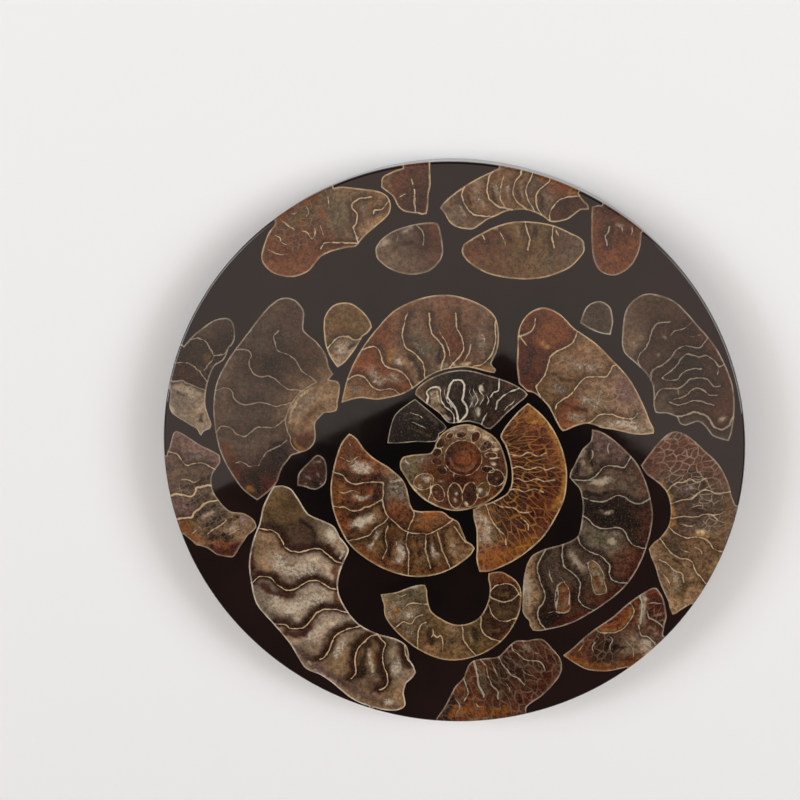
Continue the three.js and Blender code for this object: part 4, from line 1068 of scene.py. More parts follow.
SLICES["top_crescent_slice"] = {
    "slot": "brown_fossil",
    "ground": "taupe",
    "shadow": ("umber", 0.7, 1.1, 0.65),
    "seams": [
        [(3.2, 55.8), (2.5, 54.6), (2.6, 53.2), (3.2, 51.8), (4, 50.6), (5.1, 49.9), (7, 49.7),
         (8.7, 49.6)],
        [(9.9, 59.4), (8.5, 58.4), (7.8, 57.2), (7.5, 55.6), (7.6, 53.9), (8.5, 52.5), (9.9, 51.5),
         (11.6, 51.2), (13.2, 50.9)],
        [(14.2, 58), (13.2, 56.8), (12.6, 55.1), (12.9, 53.4), (14, 52), (15.4, 51.2)],
        [(16.8, 58.2), (15.9, 56.8), (15.1, 54.9), (15.6, 53), (16.6, 51.4)],
        [(20.1, 56.8), (18.7, 55.8), (17.4, 54.4), (17.2, 52.7), (17.5, 51.3), (18.2, 50.1),
         (19.4, 48.9)],
        [(19.9, 48.9), (19.9, 50.3), (20.6, 51.8), (21.8, 53), (23.5, 53.5), (25.4, 53.7)],
    ],
    "hairs": [[(10.9, 59.1), (10.6, 57.2), (10.1, 54.9), (10.2, 53), (11, 51.6)]],
    "chambers": [
        (1.5, 50, "taupe"), (5, 54, "tan"), (9, 55, "tan"), (11.6, 55, "tan"), (14, 55, "tan"),
        (16.4, 54, "taupe"), (18.8, 53, "taupe"), (23.5, 51, "umber"), (22, 55, "russet"),
        (5, 58, "taupe"),
    ],
    "strokes": [
        ("sand", 1.2, [(5.5, 56.4), (5.6, 53.6), (6.6, 51.5)]),
        ("sand", 0.9, [(1.9, 51.5), (3.2, 49.7)]),
        ("sand", 1.0, [(9.2, 56), (9.4, 53.6)]),
        ("sand", 0.9, [(11.6, 56.4), (11.6, 53.6)]),
        ("sand", 0.8, [(14.2, 55.6), (14.4, 53.6)]),
        ("amber", 1.6, [(17.8, 57.2), (20, 56.4)]),
        ("honey", 1.1, [(23.8, 54.5), (24.6, 54.3)]),
        ("umber", 0.7, [(3.4, 54.4), (4.2, 52)]),
        ("umber", 0.7, [(8.4, 55), (9, 52.8)]),
        ("umber", 0.8, [(13.4, 54.8), (14, 53)]),
        ("umber", 0.9, [(18, 54), (18.4, 51.6)]),
    ],
}

SLICES["upper_right_arc_slice"] = {
    "slot": "brown_fossil",
    "ground": "olive_brown",
    "seams": [
        [(15.1, 48.7), (15.5, 46.8), (16, 45), (15.6, 43)],
        [(20.6, 48), (20.5, 45.3), (21, 43.4)],
    ],
    "hairs": [
        [(9.9, 46.8), (11.1, 44.6), (11, 43)],
        [(21.2, 47.2), (21.8, 45.6)],
        [(6.2, 46.4), (7.2, 44.8)],
    ],
    "chambers": [
        (8, 46.2, "chestnut"), (13, 46, "olive_brown"), (18, 46, "olive_brown"), (23, 45.4, "cocoa"),
    ],
    "strokes": [
        ("sand", 0.6, [(7.6, 47.4), (9.6, 47.2)]),
        ("sand", 0.7, [(13.6, 47.4), (14, 45.6)]),
        ("umber", 0.9, [(10.6, 46.6), (12, 45.2)]),
        ("umber", 0.9, [(17, 47.6), (17.2, 45.6)]),
    ],
}

SLICES["top_right_red_slice"] = {
    "slot": "red_fossil",
    "ground": "chestnut",
    "seams": [[(31.8, 47.7), (31.3, 46.3), (31, 45.6), (31.4, 43.8)]],
    "hairs": [
        [(34.2, 47.7), (34.2, 46.9), (33.8, 45.8)],
        [(36.1, 47.7), (36.2, 46.3), (35.4, 45.6)],
    ],
    "chambers": [(31, 50, "chestnut"), (33.6, 46, "russet"), (29.4, 46, "russet")],
    "strokes": [
        ("oxblood", 1.8, [(29.6, 51.4), (33, 50)]),
        ("sand", 0.4, [(28, 50.6), (28.3, 49)]),
        ("sand", 0.8, [(33.2, 48), (34.4, 47.8)]),
    ],
}


# Smooth random fields over the plane

def lattice_noise(points, size, seed):
    """Smooth noise from -1 to 1 with lumps of about the given size."""
    table = np.random.default_rng(seed).uniform(-1, 1, (NOISE_CELLS, NOISE_CELLS))
    scaled = np.asarray(points, float) / size
    cell = np.floor(scaled).astype(int)
    part = scaled - cell
    part = part * part * (3 - 2 * part)
    x0, y0 = cell[:, 0] % NOISE_CELLS, cell[:, 1] % NOISE_CELLS
    x1, y1 = (x0 + 1) % NOISE_CELLS, (y0 + 1) % NOISE_CELLS
    low = table[y0, x0] * (1 - part[:, 0]) + table[y0, x1] * part[:, 0]
    high = table[y1, x0] * (1 - part[:, 0]) + table[y1, x1] * part[:, 0]
    return low * (1 - part[:, 1]) + high * part[:, 1]


NOISE_TURN = np.array([[0.8, -0.6], [0.6, 0.8]])


def noise_pair(points, size, seed, gap):
    """Two layered noises side by side, as shifts in x and y."""
    return np.stack([layered_noise(points, size, seed), layered_noise(points, size, seed + gap)], 1)


def layered_noise(points, size, seed):
    """Three layers of noise, each finer and weaker than the last."""
    turned = np.asarray(points, float) @ NOISE_TURN
    coarse = lattice_noise(points, size, seed)
    middle = lattice_noise(turned, size / 2.1, seed + 1)
    fine = lattice_noise(points, size / 4.3, seed + 2)
    return (coarse + 0.5 * middle + 0.25 * fine) / 1.4


def ramp(low, high, values):
    """0 below low, 1 above high, and smooth between them."""
    part = np.clip((values - low) / (high - low), 0, 1)
    return part * part * (3 - 2 * part)


# Lines in the plane

def smooth_path(points, spacing, closed=False):
    """A Catmull-Rom curve through the points, drawn at about the given spacing."""
    pts = np.asarray(points, float)
    if len(pts) < 2:
        return pts
    if closed:
        padded = np.vstack([pts[-1], pts, pts[0], pts[1]])
    else:
        padded = np.vstack([2 * pts[0] - pts[1], pts, 2 * pts[-1] - pts[-2]])
    drawn = []
    for index in range(len(padded) - 3):
        a, b, c, d = padded[index:index + 4]
        count = max(1, int(round(np.linalg.norm(c - b) / spacing)))
        for t in np.arange(count) / count:
            cubic = (-a + 3 * b - 3 * c + d) * t ** 3 + (2 * a - 5 * b + 4 * c - d) * t ** 2
            drawn.append(0.5 * (2 * b + (c - a) * t + cubic))
    if not closed:
        drawn.append(pts[-1])
    return np.array(drawn)


def side_of_path(points, path):
    """How far each point lies from a drawn line, 1 where it lies on the left, and where along it."""
    nearest = np.full(len(points), 1e9)
    left = np.zeros(len(points))
    where = np.zeros(len(points))
    count = len(path) - 1
    for number, (start, span) in enumerate(zip(path[:-1], path[1:] - path[:-1])):
        offset = points - start
        along = np.clip(offset @ span / max(span @ span, 1e-12), 0, 1)
        gap = ((offset - along[:, None] * span) ** 2).sum(1)
        closer = gap < nearest
        cross = span[0] * offset[:, 1] - span[1] * offset[:, 0]
        nearest[closer] = gap[closer]
        left[closer] = (cross[closer] > 0)
        where[closer] = (number + along[closer]) / count
    return np.sqrt(nearest), left, where


def distance_to_path(points, path):
    """How far each point lies from a drawn line."""
    return side_of_path(points, path)[0]


def inside_outline(points, outline):
    """Which points lie inside a closed outline."""
    inside = np.zeros(len(points), bool)
    x, y = points[:, 0], points[:, 1]
    for (x0, y0), (x1, y1) in zip(outline, np.roll(outline, -1, axis=0)):
        if y0 != y1:
            crosses = (y0 > y) != (y1 > y)
            inside ^= crosses & (x < (x1 - x0) * (y - y0) / (y1 - y0) + x0)
    return inside


# Outlines of the slices, from the top faces of the CAD nodes

def loop_points(node):
    """The top face's outline as one ordered ring of points."""
    mesh = node.data
    edges = {}
    for face in mesh.polygons:
        corners = [np.round(np.array(mesh.vertices[i].co) / MM, 3) for i in face.vertices]
        if min(c[2] for c in corners) < DISC_THICKNESS - 0.002:
            continue
        flat = [(float(c[0]), float(c[1])) for c in corners]
        for a, b in zip(flat, flat[1:] + flat[:1]):
            if (b, a) in edges:
                del edges[(b, a)]
            else:
                edges[(a, b)] = True
    following = {a: b for a, b in edges}
    start = next(iter(following))
    ring = [start]
    while following[ring[-1]] != start:
        ring.append(following[ring[-1]])
    return np.array(ring)


def grow(ring, distance):
    """Moves a ring outwards, corner by corner."""
    before = ring - np.roll(ring, 1, axis=0)
    after = np.roll(ring, -1, axis=0) - ring
    before /= np.linalg.norm(before, axis=1)[:, None]
    after /= np.linalg.norm(after, axis=1)[:, None]
    normal_in = np.stack([before[:, 1], -before[:, 0]], 1)
    normal_out = np.stack([after[:, 1], -after[:, 0]], 1)
    middle = normal_in + normal_out
    middle /= np.linalg.norm(middle, axis=1)[:, None]
    mitre = np.minimum(1 / np.maximum((middle * normal_out).sum(1), 0.01), MITRE_LIMIT)
    return ring + middle * (distance * mitre)[:, None]


def corner_flags(ring, on_rim):
    """Which points of a ring are corners: sharp turns, and both ends of a stretch on the rim."""
    before = ring - np.roll(ring, 1, axis=0)
    after = np.roll(ring, -1, axis=0) - ring
    cross = before[:, 0] * after[:, 1] - before[:, 1] * after[:, 0]
    turn = np.abs(np.arctan2(cross, (before * after).sum(1)))
    ends = on_rim & ~(np.roll(on_rim, 1) & np.roll(on_rim, -1))
    return (turn > CORNER_ANGLE) | ends


def rim_arc(start, end):
    """Points on the flat top's edge, counter-clockwise from one point round to another."""
    first = math.atan2(start[1], start[0])
    sweep = (math.atan2(end[1], end[0]) - first) % math.tau
    steps = max(1, int(round(sweep * FLAT_RADIUS / RIM_SPACING)))
    angles = first + sweep * np.arange(steps + 1) / steps
    return FLAT_RADIUS * np.stack([np.cos(angles), np.sin(angles)], 1)


def slice_ring(node):
    """A slice's smooth outline, and which of its points lie on the disc's edge."""
    ring = loop_points(node)
    on_rim = np.hypot(ring[:, 0], ring[:, 1]) > RIM_CATCH
    grown = grow(ring, SLICE_GROWTH)
    grown[on_rim] *= (FLAT_RADIUS / np.hypot(*grown[on_rim].T))[:, None]
    corners = np.flatnonzero(corner_flags(ring, on_rim))
    if len(corners) == 0:
        points = smooth_path(grown, OUTLINE_SPACING, closed=True)
        return points, np.zeros(len(points), bool)
    points = []
    rim = []
    for first, last in zip(corners, np.roll(corners, -1)):
        span = (last - first) % len(ring) or len(ring)
        members = (first + np.arange(span + 1)) % len(ring)
        along_rim = bool(on_rim[members].all())
        if along_rim:
            drawn = rim_arc(grown[members[0]], grown[members[-1]])
        else:
            drawn = smooth_path(grown[members], OUTLINE_SPACING)
            drawn *= np.minimum(1, FLAT_RADIUS / np.hypot(*drawn.T))[:, None]
        rim += [along_rim] * (len(drawn) - 1)
        points += list(drawn[:-1])
    return np.array(points), np.array(rim)


def quarter_round(first, height):
    """Rows of a quarter of the rounded edge, as radius, height and tilt, from a first quarter turn."""
    rows = []
    for step in range(ROUNDING_STEPS + 1):
        tilt = QUARTER_TURN * (first + step / ROUNDING_STEPS)
        radius = FLAT_RADIUS + EDGE_ROUNDING * math.sin(tilt)
        rows.append((radius, height + EDGE_ROUNDING * math.cos(tilt), tilt))
    return rows


def edge_profile():
    """The disc's section from the flat top's edge down to the pocket floor."""
    shoulder = DISC_THICKNESS - EDGE_ROUNDING
    rows = quarter_round(0, shoulder)
    rows.append((DISC_RADIUS, (shoulder + POCKET_FLOOR) / 2, QUARTER_TURN))
    rows.append((DISC_RADIUS, POCKET_FLOOR, QUARTER_TURN))
    return rows


def lower_profile():
    """The disc's section from the pocket floor's height down to the flat underside."""
    return [(DISC_RADIUS, POCKET_FLOOR, QUARTER_TURN)] + quarter_round(1, EDGE_ROUNDING)


class Shell:
    """Vertices, faces and a normal for every face corner, gathered for one piece."""

    def __init__(self):
        self.places = []
        self.faces = []
        self.normals = []

    def add_points(self, flat, height):
        """Adds a row of flat points at a height and gives back their numbers."""
        start = len(self.places)
        self.places += [(x, y, height) for x, y in flat]
        return np.arange(start, start + len(flat))

    def add_point(self, spot, height):
        """Adds one flat point at a height and gives back its number."""
        self.places.append((spot[0], spot[1], height))
        return len(self.places) - 1

    def add_face(self, corners, normals):
        """Adds a face with a normal for each corner."""
        self.faces.append([int(c) for c in corners])
        self.normals += [tuple(n) for n in normals]

    def mesh(self, name):
        """The finished mesh, in metres."""
        mesh = bpy.data.meshes.new(name)
        mesh.from_pydata([Vector(p) * MM for p in self.places], [], self.faces)
        mesh.validate()
        mesh.normals_split_custom_set(self.normals)
        mesh.update()
        return mesh


def outward(point, tilt):
    """The normal of the rounded rim at a point, where tilt is 0 on top and a quarter turn on the wall."""
    reach = math.hypot(point[0], point[1])
    level = math.sin(tilt) / reach
    return (point[0] * level, point[1] * level, math.cos(tilt))


def pushed(point, radius):
    """The point moved straight out from the disc's axis to a radius."""
    factor = radius / math.hypot(point[0], point[1])
    return (point[0] * factor, point[1] * factor)


def rim_column(shell, top, point, rows):
    """Adds the rim's points under one point of its top edge, and gives back the whole column."""
    return [int(top)] + [shell.add_point(pushed(point, radius), height) for radius, height, _ in rows[1:]]


def add_rim_columns(shell, ring, numbers, rim, rows):
    """Adds the rim rows under the edge points of a ring and gives back their columns."""
    touches = np.flatnonzero(rim | np.roll(rim, 1))
    return {int(i): rim_column(shell, numbers[i], ring[i], rows) for i in touches}


def add_rim_strip(shell, ring, columns, first, second, rows):
    """Adds the faces of the rounded rim between two neighbouring columns."""
    left, right = columns[first], columns[second]
    for row in range(len(rows) - 1):
        upper, lower = rows[row][2], rows[row + 1][2]
        corners = [left[row], left[row + 1], right[row + 1], right[row]]
        normals = [
            outward(ring[first], upper),
            outward(ring[first], lower),
            outward(ring[second], lower),
            outward(ring[second], upper),
        ]
        shell.add_face(corners, normals)


def add_side_wall(shell, ring, columns, tops, bottoms, first, second, inwards):
    """Adds the straight wall under one edge of a ring, following the rim at its ends."""
    corners = [tops[first]]
    corners += columns[first][1:] if first in columns else [bottoms[first]]
    far = columns[second][1:] if second in columns else [bottoms[second]]
    corners += far[::-1]
    corners.append(tops[second])
    along = ring[second] - ring[first]
    normal = np.array([along[1], -along[0], 0]) / max(np.hypot(*along), 1e-9)
    if inwards:
        corners = corners[::-1]
        normal = -normal
    shell.add_face(corners, [normal] * len(corners))


TRIANGLES_INSIDE = 1
JOIN_DISTANCE = 1e-5
Top = namedtuple("Top", "points edges triangles origins edge_sources face_sources")


def triangulate(points, edges, faces):
    """A Delaunay mesh that keeps the given edges, with where each of its parts came from."""
    made = delaunay_2d_cdt([Vector(p) for p in points], edges, faces, TRIANGLES_INSIDE, JOIN_DISTANCE)
    return Top(np.array([v[:] for v in made[0]]), *made[1:])


def place_numbers(origins):
    """Which mesh point each given point became."""
    return {source: number for number, sources in enumerate(origins) for source in sources}


def reach_outline(path, ring, gap_to_ring):
    """Cuts a line to the part inside a slice, and says which ring points its ends meet."""
    inside = inside_outline(path, ring) & (gap_to_ring > END_CLEARANCE)
    reach = int(round(SEAM_REACH / LINE_SPACING))
    middle = len(path) // 2
    if not inside[middle]:
        hits = np.flatnonzero(inside)
        if len(hits) == 0:
            return None
        middle = hits[np.argmin(np.abs(hits - middle))]
    first = last = middle
    while first > 0 and inside[first - 1]:
        first -= 1
    while last < len(path) - 1 and inside[last + 1]:
        last += 1
    meets = [first > 0, last < len(path) - 1]
    if not meets[0]:
        first = min(reach, last)
    if not meets[1]:
        last = max(len(path) - 1 - reach, first)
    kept = path[first:last + 1]
    ends = []
    for meet, spot in zip(meets, (kept[0], kept[-1])):
        nearest = int(np.argmin(((ring - spot) ** 2).sum(1)))
        ends.append(nearest if meet else None)
    return kept, ends


FRILL_SIZE = 0.9


def frilled(points, seed, width):
    """A given line drawn finely, with the small frills of a real seam and longer ends."""
    path = smooth_path(points, LINE_SPACING)
    frill = SEAM_FRILL + 0.1 * width
    path = path + frill * noise_pair(path, FRILL_SIZE, seed, 7)
    count = int(round(SEAM_REACH / LINE_SPACING))
    steps = np.arange(1, count + 1)[:, None] * LINE_SPACING
    start = path[0] - path[min(2, len(path) - 1)]
    end = path[-1] - path[-min(3, len(path))]
    before = path[0] + steps[::-1] * start / max(np.hypot(*start), 1e-9)
    after = path[-1] + steps * end / max(np.hypot(*end), 1e-9)
    return np.vstack([before, path, after])


def region_labels(triangles, edges, sources):
    """A number for each triangle, the same for all that no seam parts from each other."""
    fences = {tuple(sorted(edge)) for edge, source in zip(edges, sources) if source}
    beside = {}
    for number, face in enumerate(triangles):
        for a, b in zip(face, list(face[1:]) + [face[0]]):
            key = (a, b) if a < b else (b, a)
            if key not in fences:
                beside.setdefault(key, []).append(number)
    neighbours = [[] for _ in triangles]
    for pair in beside.values():
        if len(pair) == 2:
            neighbours[pair[0]].append(pair[1])
            neighbours[pair[1]].append(pair[0])
    labels = np.full(len(triangles), -1)
    label = 0
    for start in range(len(triangles)):
        if labels[start] >= 0:
            continue
        labels[start] = label
        waiting = [start]
        while waiting:
            for other in neighbours[waiting.pop()]:
                if labels[other] < 0:
                    labels[other] = label
                    waiting.append(other)
        label += 1
    return labels


def chamber_colours(points, triangles, labels, chambers, ground):
    """A colour for every point, taken from the marked chambers of its own region."""
    faces = np.array(triangles)
    centres = points[faces].mean(1)
    spots = np.array([[x, y] for x, y, _ in chambers]) if chambers else np.zeros((0, 2))
    colours = np.array([linear(shade) for _, _, shade in chambers]) if chambers else None
    owners = [labels[np.argmin(((centres - spot) ** 2).sum(1))] for spot in spots]
    shades = np.tile(linear(ground), (len(faces), 1))
    for label in range(labels.max() + 1):
        members = np.flatnonzero(labels == label)
        marked = [i for i, owner in enumerate(owners) if owner == label]
        if not marked and (len(members) > 400 or not owners):
            continue
        chosen = marked or list(range(len(owners)))
        gaps = ((centres[members][:, None] - spots[chosen][None]) ** 2).sum(2)
        weights = 1 / (gaps + COLOUR_BLEND) ** 1.5
        weights /= weights.sum(1)[:, None]
        shades[members] = weights @ colours[chosen]
    total = np.zeros((len(points), 3))
    count = np.zeros(len(points))
    for corner in range(3):
        np.add.at(total, faces[:, corner], shades)
        np.add.at(count, faces[:, corner], 1)
    return total / np.maximum(count, 1)[:, None]


def painted(points, colours, strokes, seed):
    """Colours with soft strokes laid over them, and how thickly pale crystals lie."""
    cloud = np.zeros(len(points))
    for number, (shade, width, line) in enumerate(strokes):
        path = smooth_path(line, 0.5) if len(line) > 1 else np.array([line[0], line[0]], float)
        ragged = distance_to_path(points, path)
        ragged += STROKE_RAGGED * width * layered_noise(points, 0.5 + 0.5 * width, seed + number)
        ragged += STROKE_FRINGE * min(width, 1.6) * layered_noise(points, 0.7, seed + number + 50)
        strength = 1 - ramp(STROKE_CORE * width, STROKE_EDGE * width, ragged)
        if shade in CRYSTALS and len(line) > 1:
            span = np.hypot(*(path[-1] - path[0]))
            gap_to_middle = np.hypot(*(points - path.mean(0)).T)
            strength *= 1 - CRYSTAL_FADE * ramp(0.25 * span, 0.6 * span + 0.4, gap_to_middle)
        colours = colours + (np.array(linear(shade)) - colours) * (STROKE_COVER * strength)[:, None]
        cloud = cloud * (1 - strength) + strength * CRYSTALS.get(shade, 0.0)
    return colours, cloud


def wall_measures(points, paths, left_reach, right_reach, seed):
    """How far each point lies from the nearest wall, and how deep it lies in the walls' shadows."""
    seam = np.full(len(points), FAR)
    dark = np.zeros(len(points))
    ragged = 1 + SHADOW_RAGGED * layered_noise(points, 1.1, seed)
    for path, width in paths:
        gap, left, where = side_of_path(points, path)
        fade = 0.0
        if width <= HAIR_WIDTH and not np.allclose(path[0], path[-1]):
            fade = HAIR_FADE * (1 - ramp(0, 0.4, np.minimum(where, 1 - where)))
        seam = np.minimum(seam, gap - width / 2 + fade)
        if width > HAIR_WIDTH:
            reach = np.where(left > 0.5, left_reach, right_reach) * ragged
            dark = np.maximum(dark, 1 - ramp(SHADOW_CORE * reach, reach, gap))
    return seam, dark


def slice_markings(plan, seed, points, top, paths):
    """The colour of each point of a slice's top, its distance from the walls, and its crystals."""
    labels = region_labels(top.triangles, top.edges, top.edge_sources)
    colours = chamber_colours(points, top.triangles, labels, plan["chambers"], plan["ground"])
    shade, left_reach, right_reach, depth = plan["shadow"]
    seam, dark = wall_measures(points, paths, left_reach, right_reach, seed + 5)
    colours = colours * (1 + WALL_GLOW * ramp(0.5, 2.2, seam))[:, None]
    colours, cloud = painted(points, colours, plan["strokes"], seed)
    colours = colours + (np.array(linear(shade)) - colours) * (depth * dark)[:, None]
    clouds = layered_noise(points, plan["cloud_size"], seed + 3)
    colours = colours * (1 + plan["mottle"] * clouds)[:, None]
    return np.maximum(colours * plan["gain"], DARKEST), seam, cloud


def net_flow(points, net, seed):
    """Where the fine net of a slice lies: its strength, and a place in cells one unit wide."""
    if net is None:
        return np.zeros(len(points)), np.zeros((len(points), 3))
    warped = points + 0.35 * net["short"] * noise_pair(points, 2.0, seed, 9)
    if "centre" in net:
        offset = warped - np.array(net["centre"])
        along = np.hypot(offset[:, 0], offset[:, 1])
        across = np.arctan2(offset[:, 1], offset[:, 0]) * net["radius"]
    else:
        angle = math.radians(net["angle"])
        along = warped @ np.array([math.cos(angle), math.sin(angle)])
        across = warped @ np.array([-math.sin(angle), math.cos(angle)])
    mask = np.zeros(len(points)) if "areas" in net else np.ones(len(points))
    for x, y, reach in net.get("areas", []):
        gap = np.hypot(points[:, 0] - x, points[:, 1] - y) + 0.8 * layered_noise(points, 2.2, seed + 4)
        mask = np.maximum(mask, 1 - ramp(0.75 * reach, 1.1 * reach, gap))
    cells = [along / net["long"], across / net["short"], np.zeros(len(points))]
    return net["strength"] * mask, np.stack(cells, 1)


def oval_line(x, y, wide, tall, tilt):
    """A closed line round a small chamber."""
    turns = np.arange(0, 361, 20) * math.pi / 180
    angle = math.radians(tilt)
    flat = np.stack([wide * np.cos(turns), tall * np.sin(turns)], 1)
    turned = flat @ np.array([[math.cos(angle), math.sin(angle)], [-math.sin(angle), math.cos(angle)]])
    return turned + np.array([x, y])


def grain_points(ring, spacing):
    """Points spread evenly inside a ring, in staggered rows."""
    low, high = ring.min(0), ring.max(0)
    row_gap = spacing * math.sqrt(0.75)
    rows = np.arange(low[1], high[1], row_gap)
    spots = []
    for number, y in enumerate(rows):
        xs = np.arange(low[0] + (number % 2) * spacing / 2, high[0], spacing)
        spots.append(np.stack([xs, np.full(len(xs), y)], 1))
    spots = np.vstack(spots)
    wobble = np.stack([lattice_noise(spots, 0.5, seed) for seed in (5, 6)], 1)
    spots = spots + 0.12 * spacing * wobble
    return spots[inside_outline(spots, ring)]


def thinned(spots, paths, clearance):
    """The points that keep a clearance from every line."""
    for path in paths:
        low, high = path.min(0) - clearance, path.max(0) + clearance
        near = ((spots > low) & (spots < high)).all(1)
        gaps = np.full(len(spots), FAR)
        gaps[near] = distance_to_path(spots[near], path)
        spots = spots[gaps > clearance]
    return spots


def add_line(points, edges, ring, kept, ends):
    """Adds a cut line to a drawing, joined to the outline where it meets it, and gives it back whole."""
    start = len(points)
    points += list(kept)
    edges += [(start + i, start + i + 1) for i in range(len(kept) - 1)]
    whole = kept
    if ends[0] is not None:
        edges.append((ends[0], start))
        whole = np.vstack([ring[ends[0]], whole])
    if ends[1] is not None:
        edges.append((start + len(kept) - 1, ends[1]))
        whole = np.vstack([whole, ring[ends[1]]])
    return whole


def draw_walls(plan, seed, ring, closed):
    """A slice's outline with its walls and hairs: the points, their edges, and the lines with widths."""
    points = list(ring)
    edges = []
    paths = []
    for kind, width in LINE_KINDS:
        for number, line in enumerate(plan[kind]):
            drawn = frilled(line, seed + number, width)
            cut = reach_outline(drawn, ring, distance_to_path(drawn, closed))
            if cut is not None and len(cut[0]) > 1:
                paths.append((add_line(points, edges, ring, *cut), width))
    return points, edges, paths


def draw_ovals(plan, seed, points, edges, paths):
    """Adds the small round chambers to a drawing."""
    for x, y, wide, tall, tilt, width in plan["ovals"]:
        drawn = smooth_path(oval_line(x, y, wide, tall, tilt)[:-1], LINE_SPACING, closed=True)
        drawn += OVAL_FRILL * noise_pair(drawn, FRILL_SIZE, seed, 7)
        start = len(points)
        points += list(drawn)
        edges += [(start + i, start + (i + 1) % len(drawn)) for i in range(len(drawn))]
        paths.append((np.vstack([drawn, drawn[:1]]), width))


def slice_shell(flat, triangles, ring, rim, ring_numbers):
    """The closed body of a slice: its top, its rounded rim, its sides and its flat underside."""
    shell = Shell()
    tops = shell.add_points(flat, DISC_THICKNESS)
    rows = edge_profile()
    ring_tops = tops[ring_numbers]
    columns = add_rim_columns(shell, ring, ring_tops, rim, rows)
    bottoms = []
    for index, point in enumerate(ring):
        if index in columns:
            bottoms.append(columns[index][-1])
        else:
            bottoms.append(shell.add_point(point, POCKET_FLOOR))
    for face in triangles:
        shell.add_face([tops[i] for i in face], [UP] * 3)
    for index in range(len(ring)):
        following = (index + 1) % len(ring)
        if rim[index]:
            add_rim_strip(shell, ring, columns, index, following, rows)
        else:
            add_side_wall(shell, ring, columns, ring_tops, bottoms, index, following, False)
    shell.add_face(bottoms[::-1], [DOWN] * len(ring))
    return shell


def build_slice(name, ring, rim):
    """One slice of ammonite: a flat polished top with its markings, its sides and its underside."""
    plan = {**PLAIN_SLICE, **SLICES[name]}
    place = list(SLICES).index(name)
    line_seed = LINE_SEED + LINE_STEP * place
    closed = np.vstack([ring, ring[:1]])
    points, edges, paths = draw_walls(plan, line_seed, ring, closed)
    draw_ovals(plan, line_seed, points, edges, paths)
    spacing = plan["spacing"]
    lines = [closed] + [path for path, _ in paths]
    points += list(thinned(grain_points(ring, spacing), lines, spacing * GRAIN_CLEARANCE))
    top = triangulate(points, edges, [list(range(len(ring)))])
    places = place_numbers(top.origins)
    ring_numbers = [places[i] for i in range(len(ring))]
    colours, seam, cloud = slice_markings(plan, PAINT_SEED + PAINT_STEP * place, top.points, top, paths)
    border = distance_to_edge(top.points, ring, rim) / plan["edge"]
    net, flow = net_flow(top.points, plan["net"], line_seed + 11)
    shell = slice_shell(top.points, top.triangles, ring, rim, ring_numbers)
    mesh = shell.mesh(name.replace("_slice", "") + "_inlay")
    measures = {"seam": seam, "border": border, "net": net, "cloud": cloud}
    write_markings(mesh, shell, top.points, ring_numbers, colours, measures, flow)
    return mesh


def distance_to_edge(points, ring, rim):
    """How far each point lies from the slice's outline, leaving out what lies on the disc's rim."""
    gaps = np.full(len(points), FAR)
    for index in np.flatnonzero(~rim):
        following = (index + 1) % len(ring)
        gaps = np.minimum(gaps, distance_to_path(points, ring[[index, following]]))
    return gaps


def write_markings(mesh, shell, flat, ring_numbers, colours, measures, flow):
    """Stores the markings on the mesh, and carries those of the top's edge down the sides."""
    places = np.array(shell.places)
    count = len(flat)
    source = np.arange(len(places))
    edge = np.array(ring_numbers)
    for index in range(count, len(places)):
        gaps = ((flat[edge] - places[index, :2]) ** 2).sum(1)
        source[index] = edge[np.argmin(gaps)]
    tint = mesh.attributes.new("tint", "FLOAT_COLOR", "POINT")
    tint.data.foreach_set("color", np.hstack([colours[source], np.ones((len(source), 1))]).ravel())
    for label, values in measures.items():
        layer = mesh.attributes.new(label, "FLOAT", "POINT")
        layer.data.foreach_set("value", values[source])
    layer = mesh.attributes.new("flow", "FLOAT_VECTOR", "POINT")
    layer.data.foreach_set("vector", flow[source].ravel())


def rim_ring(rings):
    """The flat top's edge all the way round, sharing points with the slices that reach it."""
    arcs = []
    for ring, rim in rings.values():
        for start in np.flatnonzero(rim & ~np.roll(rim, 1)):
            members = [int(start)]
            while rim[members[-1] % len(ring)]:
                members.append(members[-1] + 1)
            arcs.append(ring[[m % len(ring) for m in members]])
    arcs.sort(key=lambda spots: math.atan2(spots[0][1], spots[0][0]) % math.tau)
    whole = []
    covered = []
    for arc, following in zip(arcs, arcs[1:] + arcs[:1]):
        bare = rim_arc(arc[-1], following[0])[1:-1]
        whole += list(arc) + list(bare)
        covered += [True] * (len(arc) - 1) + [False] * (len(bare) + 1)
    return np.array(whole), np.array(covered)


def add_pocket_walls(shell, ring, on_rim, tops, columns, bottoms):
    """Adds the walls of one pocket, which face inwards and stop at the disc's rim."""
    for index in np.flatnonzero(~on_rim):
        following = (index + 1) % len(ring)
        add_side_wall(shell, ring, columns, tops, bottoms, index, following, True)


def add_underside(shell, rim, starts):
    """Adds the lower rim, from the points at the pocket floor's height, and the flat underside."""
    rows = lower_profile()
    columns = [rim_column(shell, start, point, rows) for start, point in zip(starts, rim)]
    count = len(rim)
    for index in range(count):
        add_rim_strip(shell, rim, columns, index, (index + 1) % count, rows)
    centre = shell.add_point((0, 0), 0)
    for column, following in zip(columns, columns[1:] + columns[:1]):
        shell.add_face([following[-1], column[-1], centre], [DOWN] * 3)


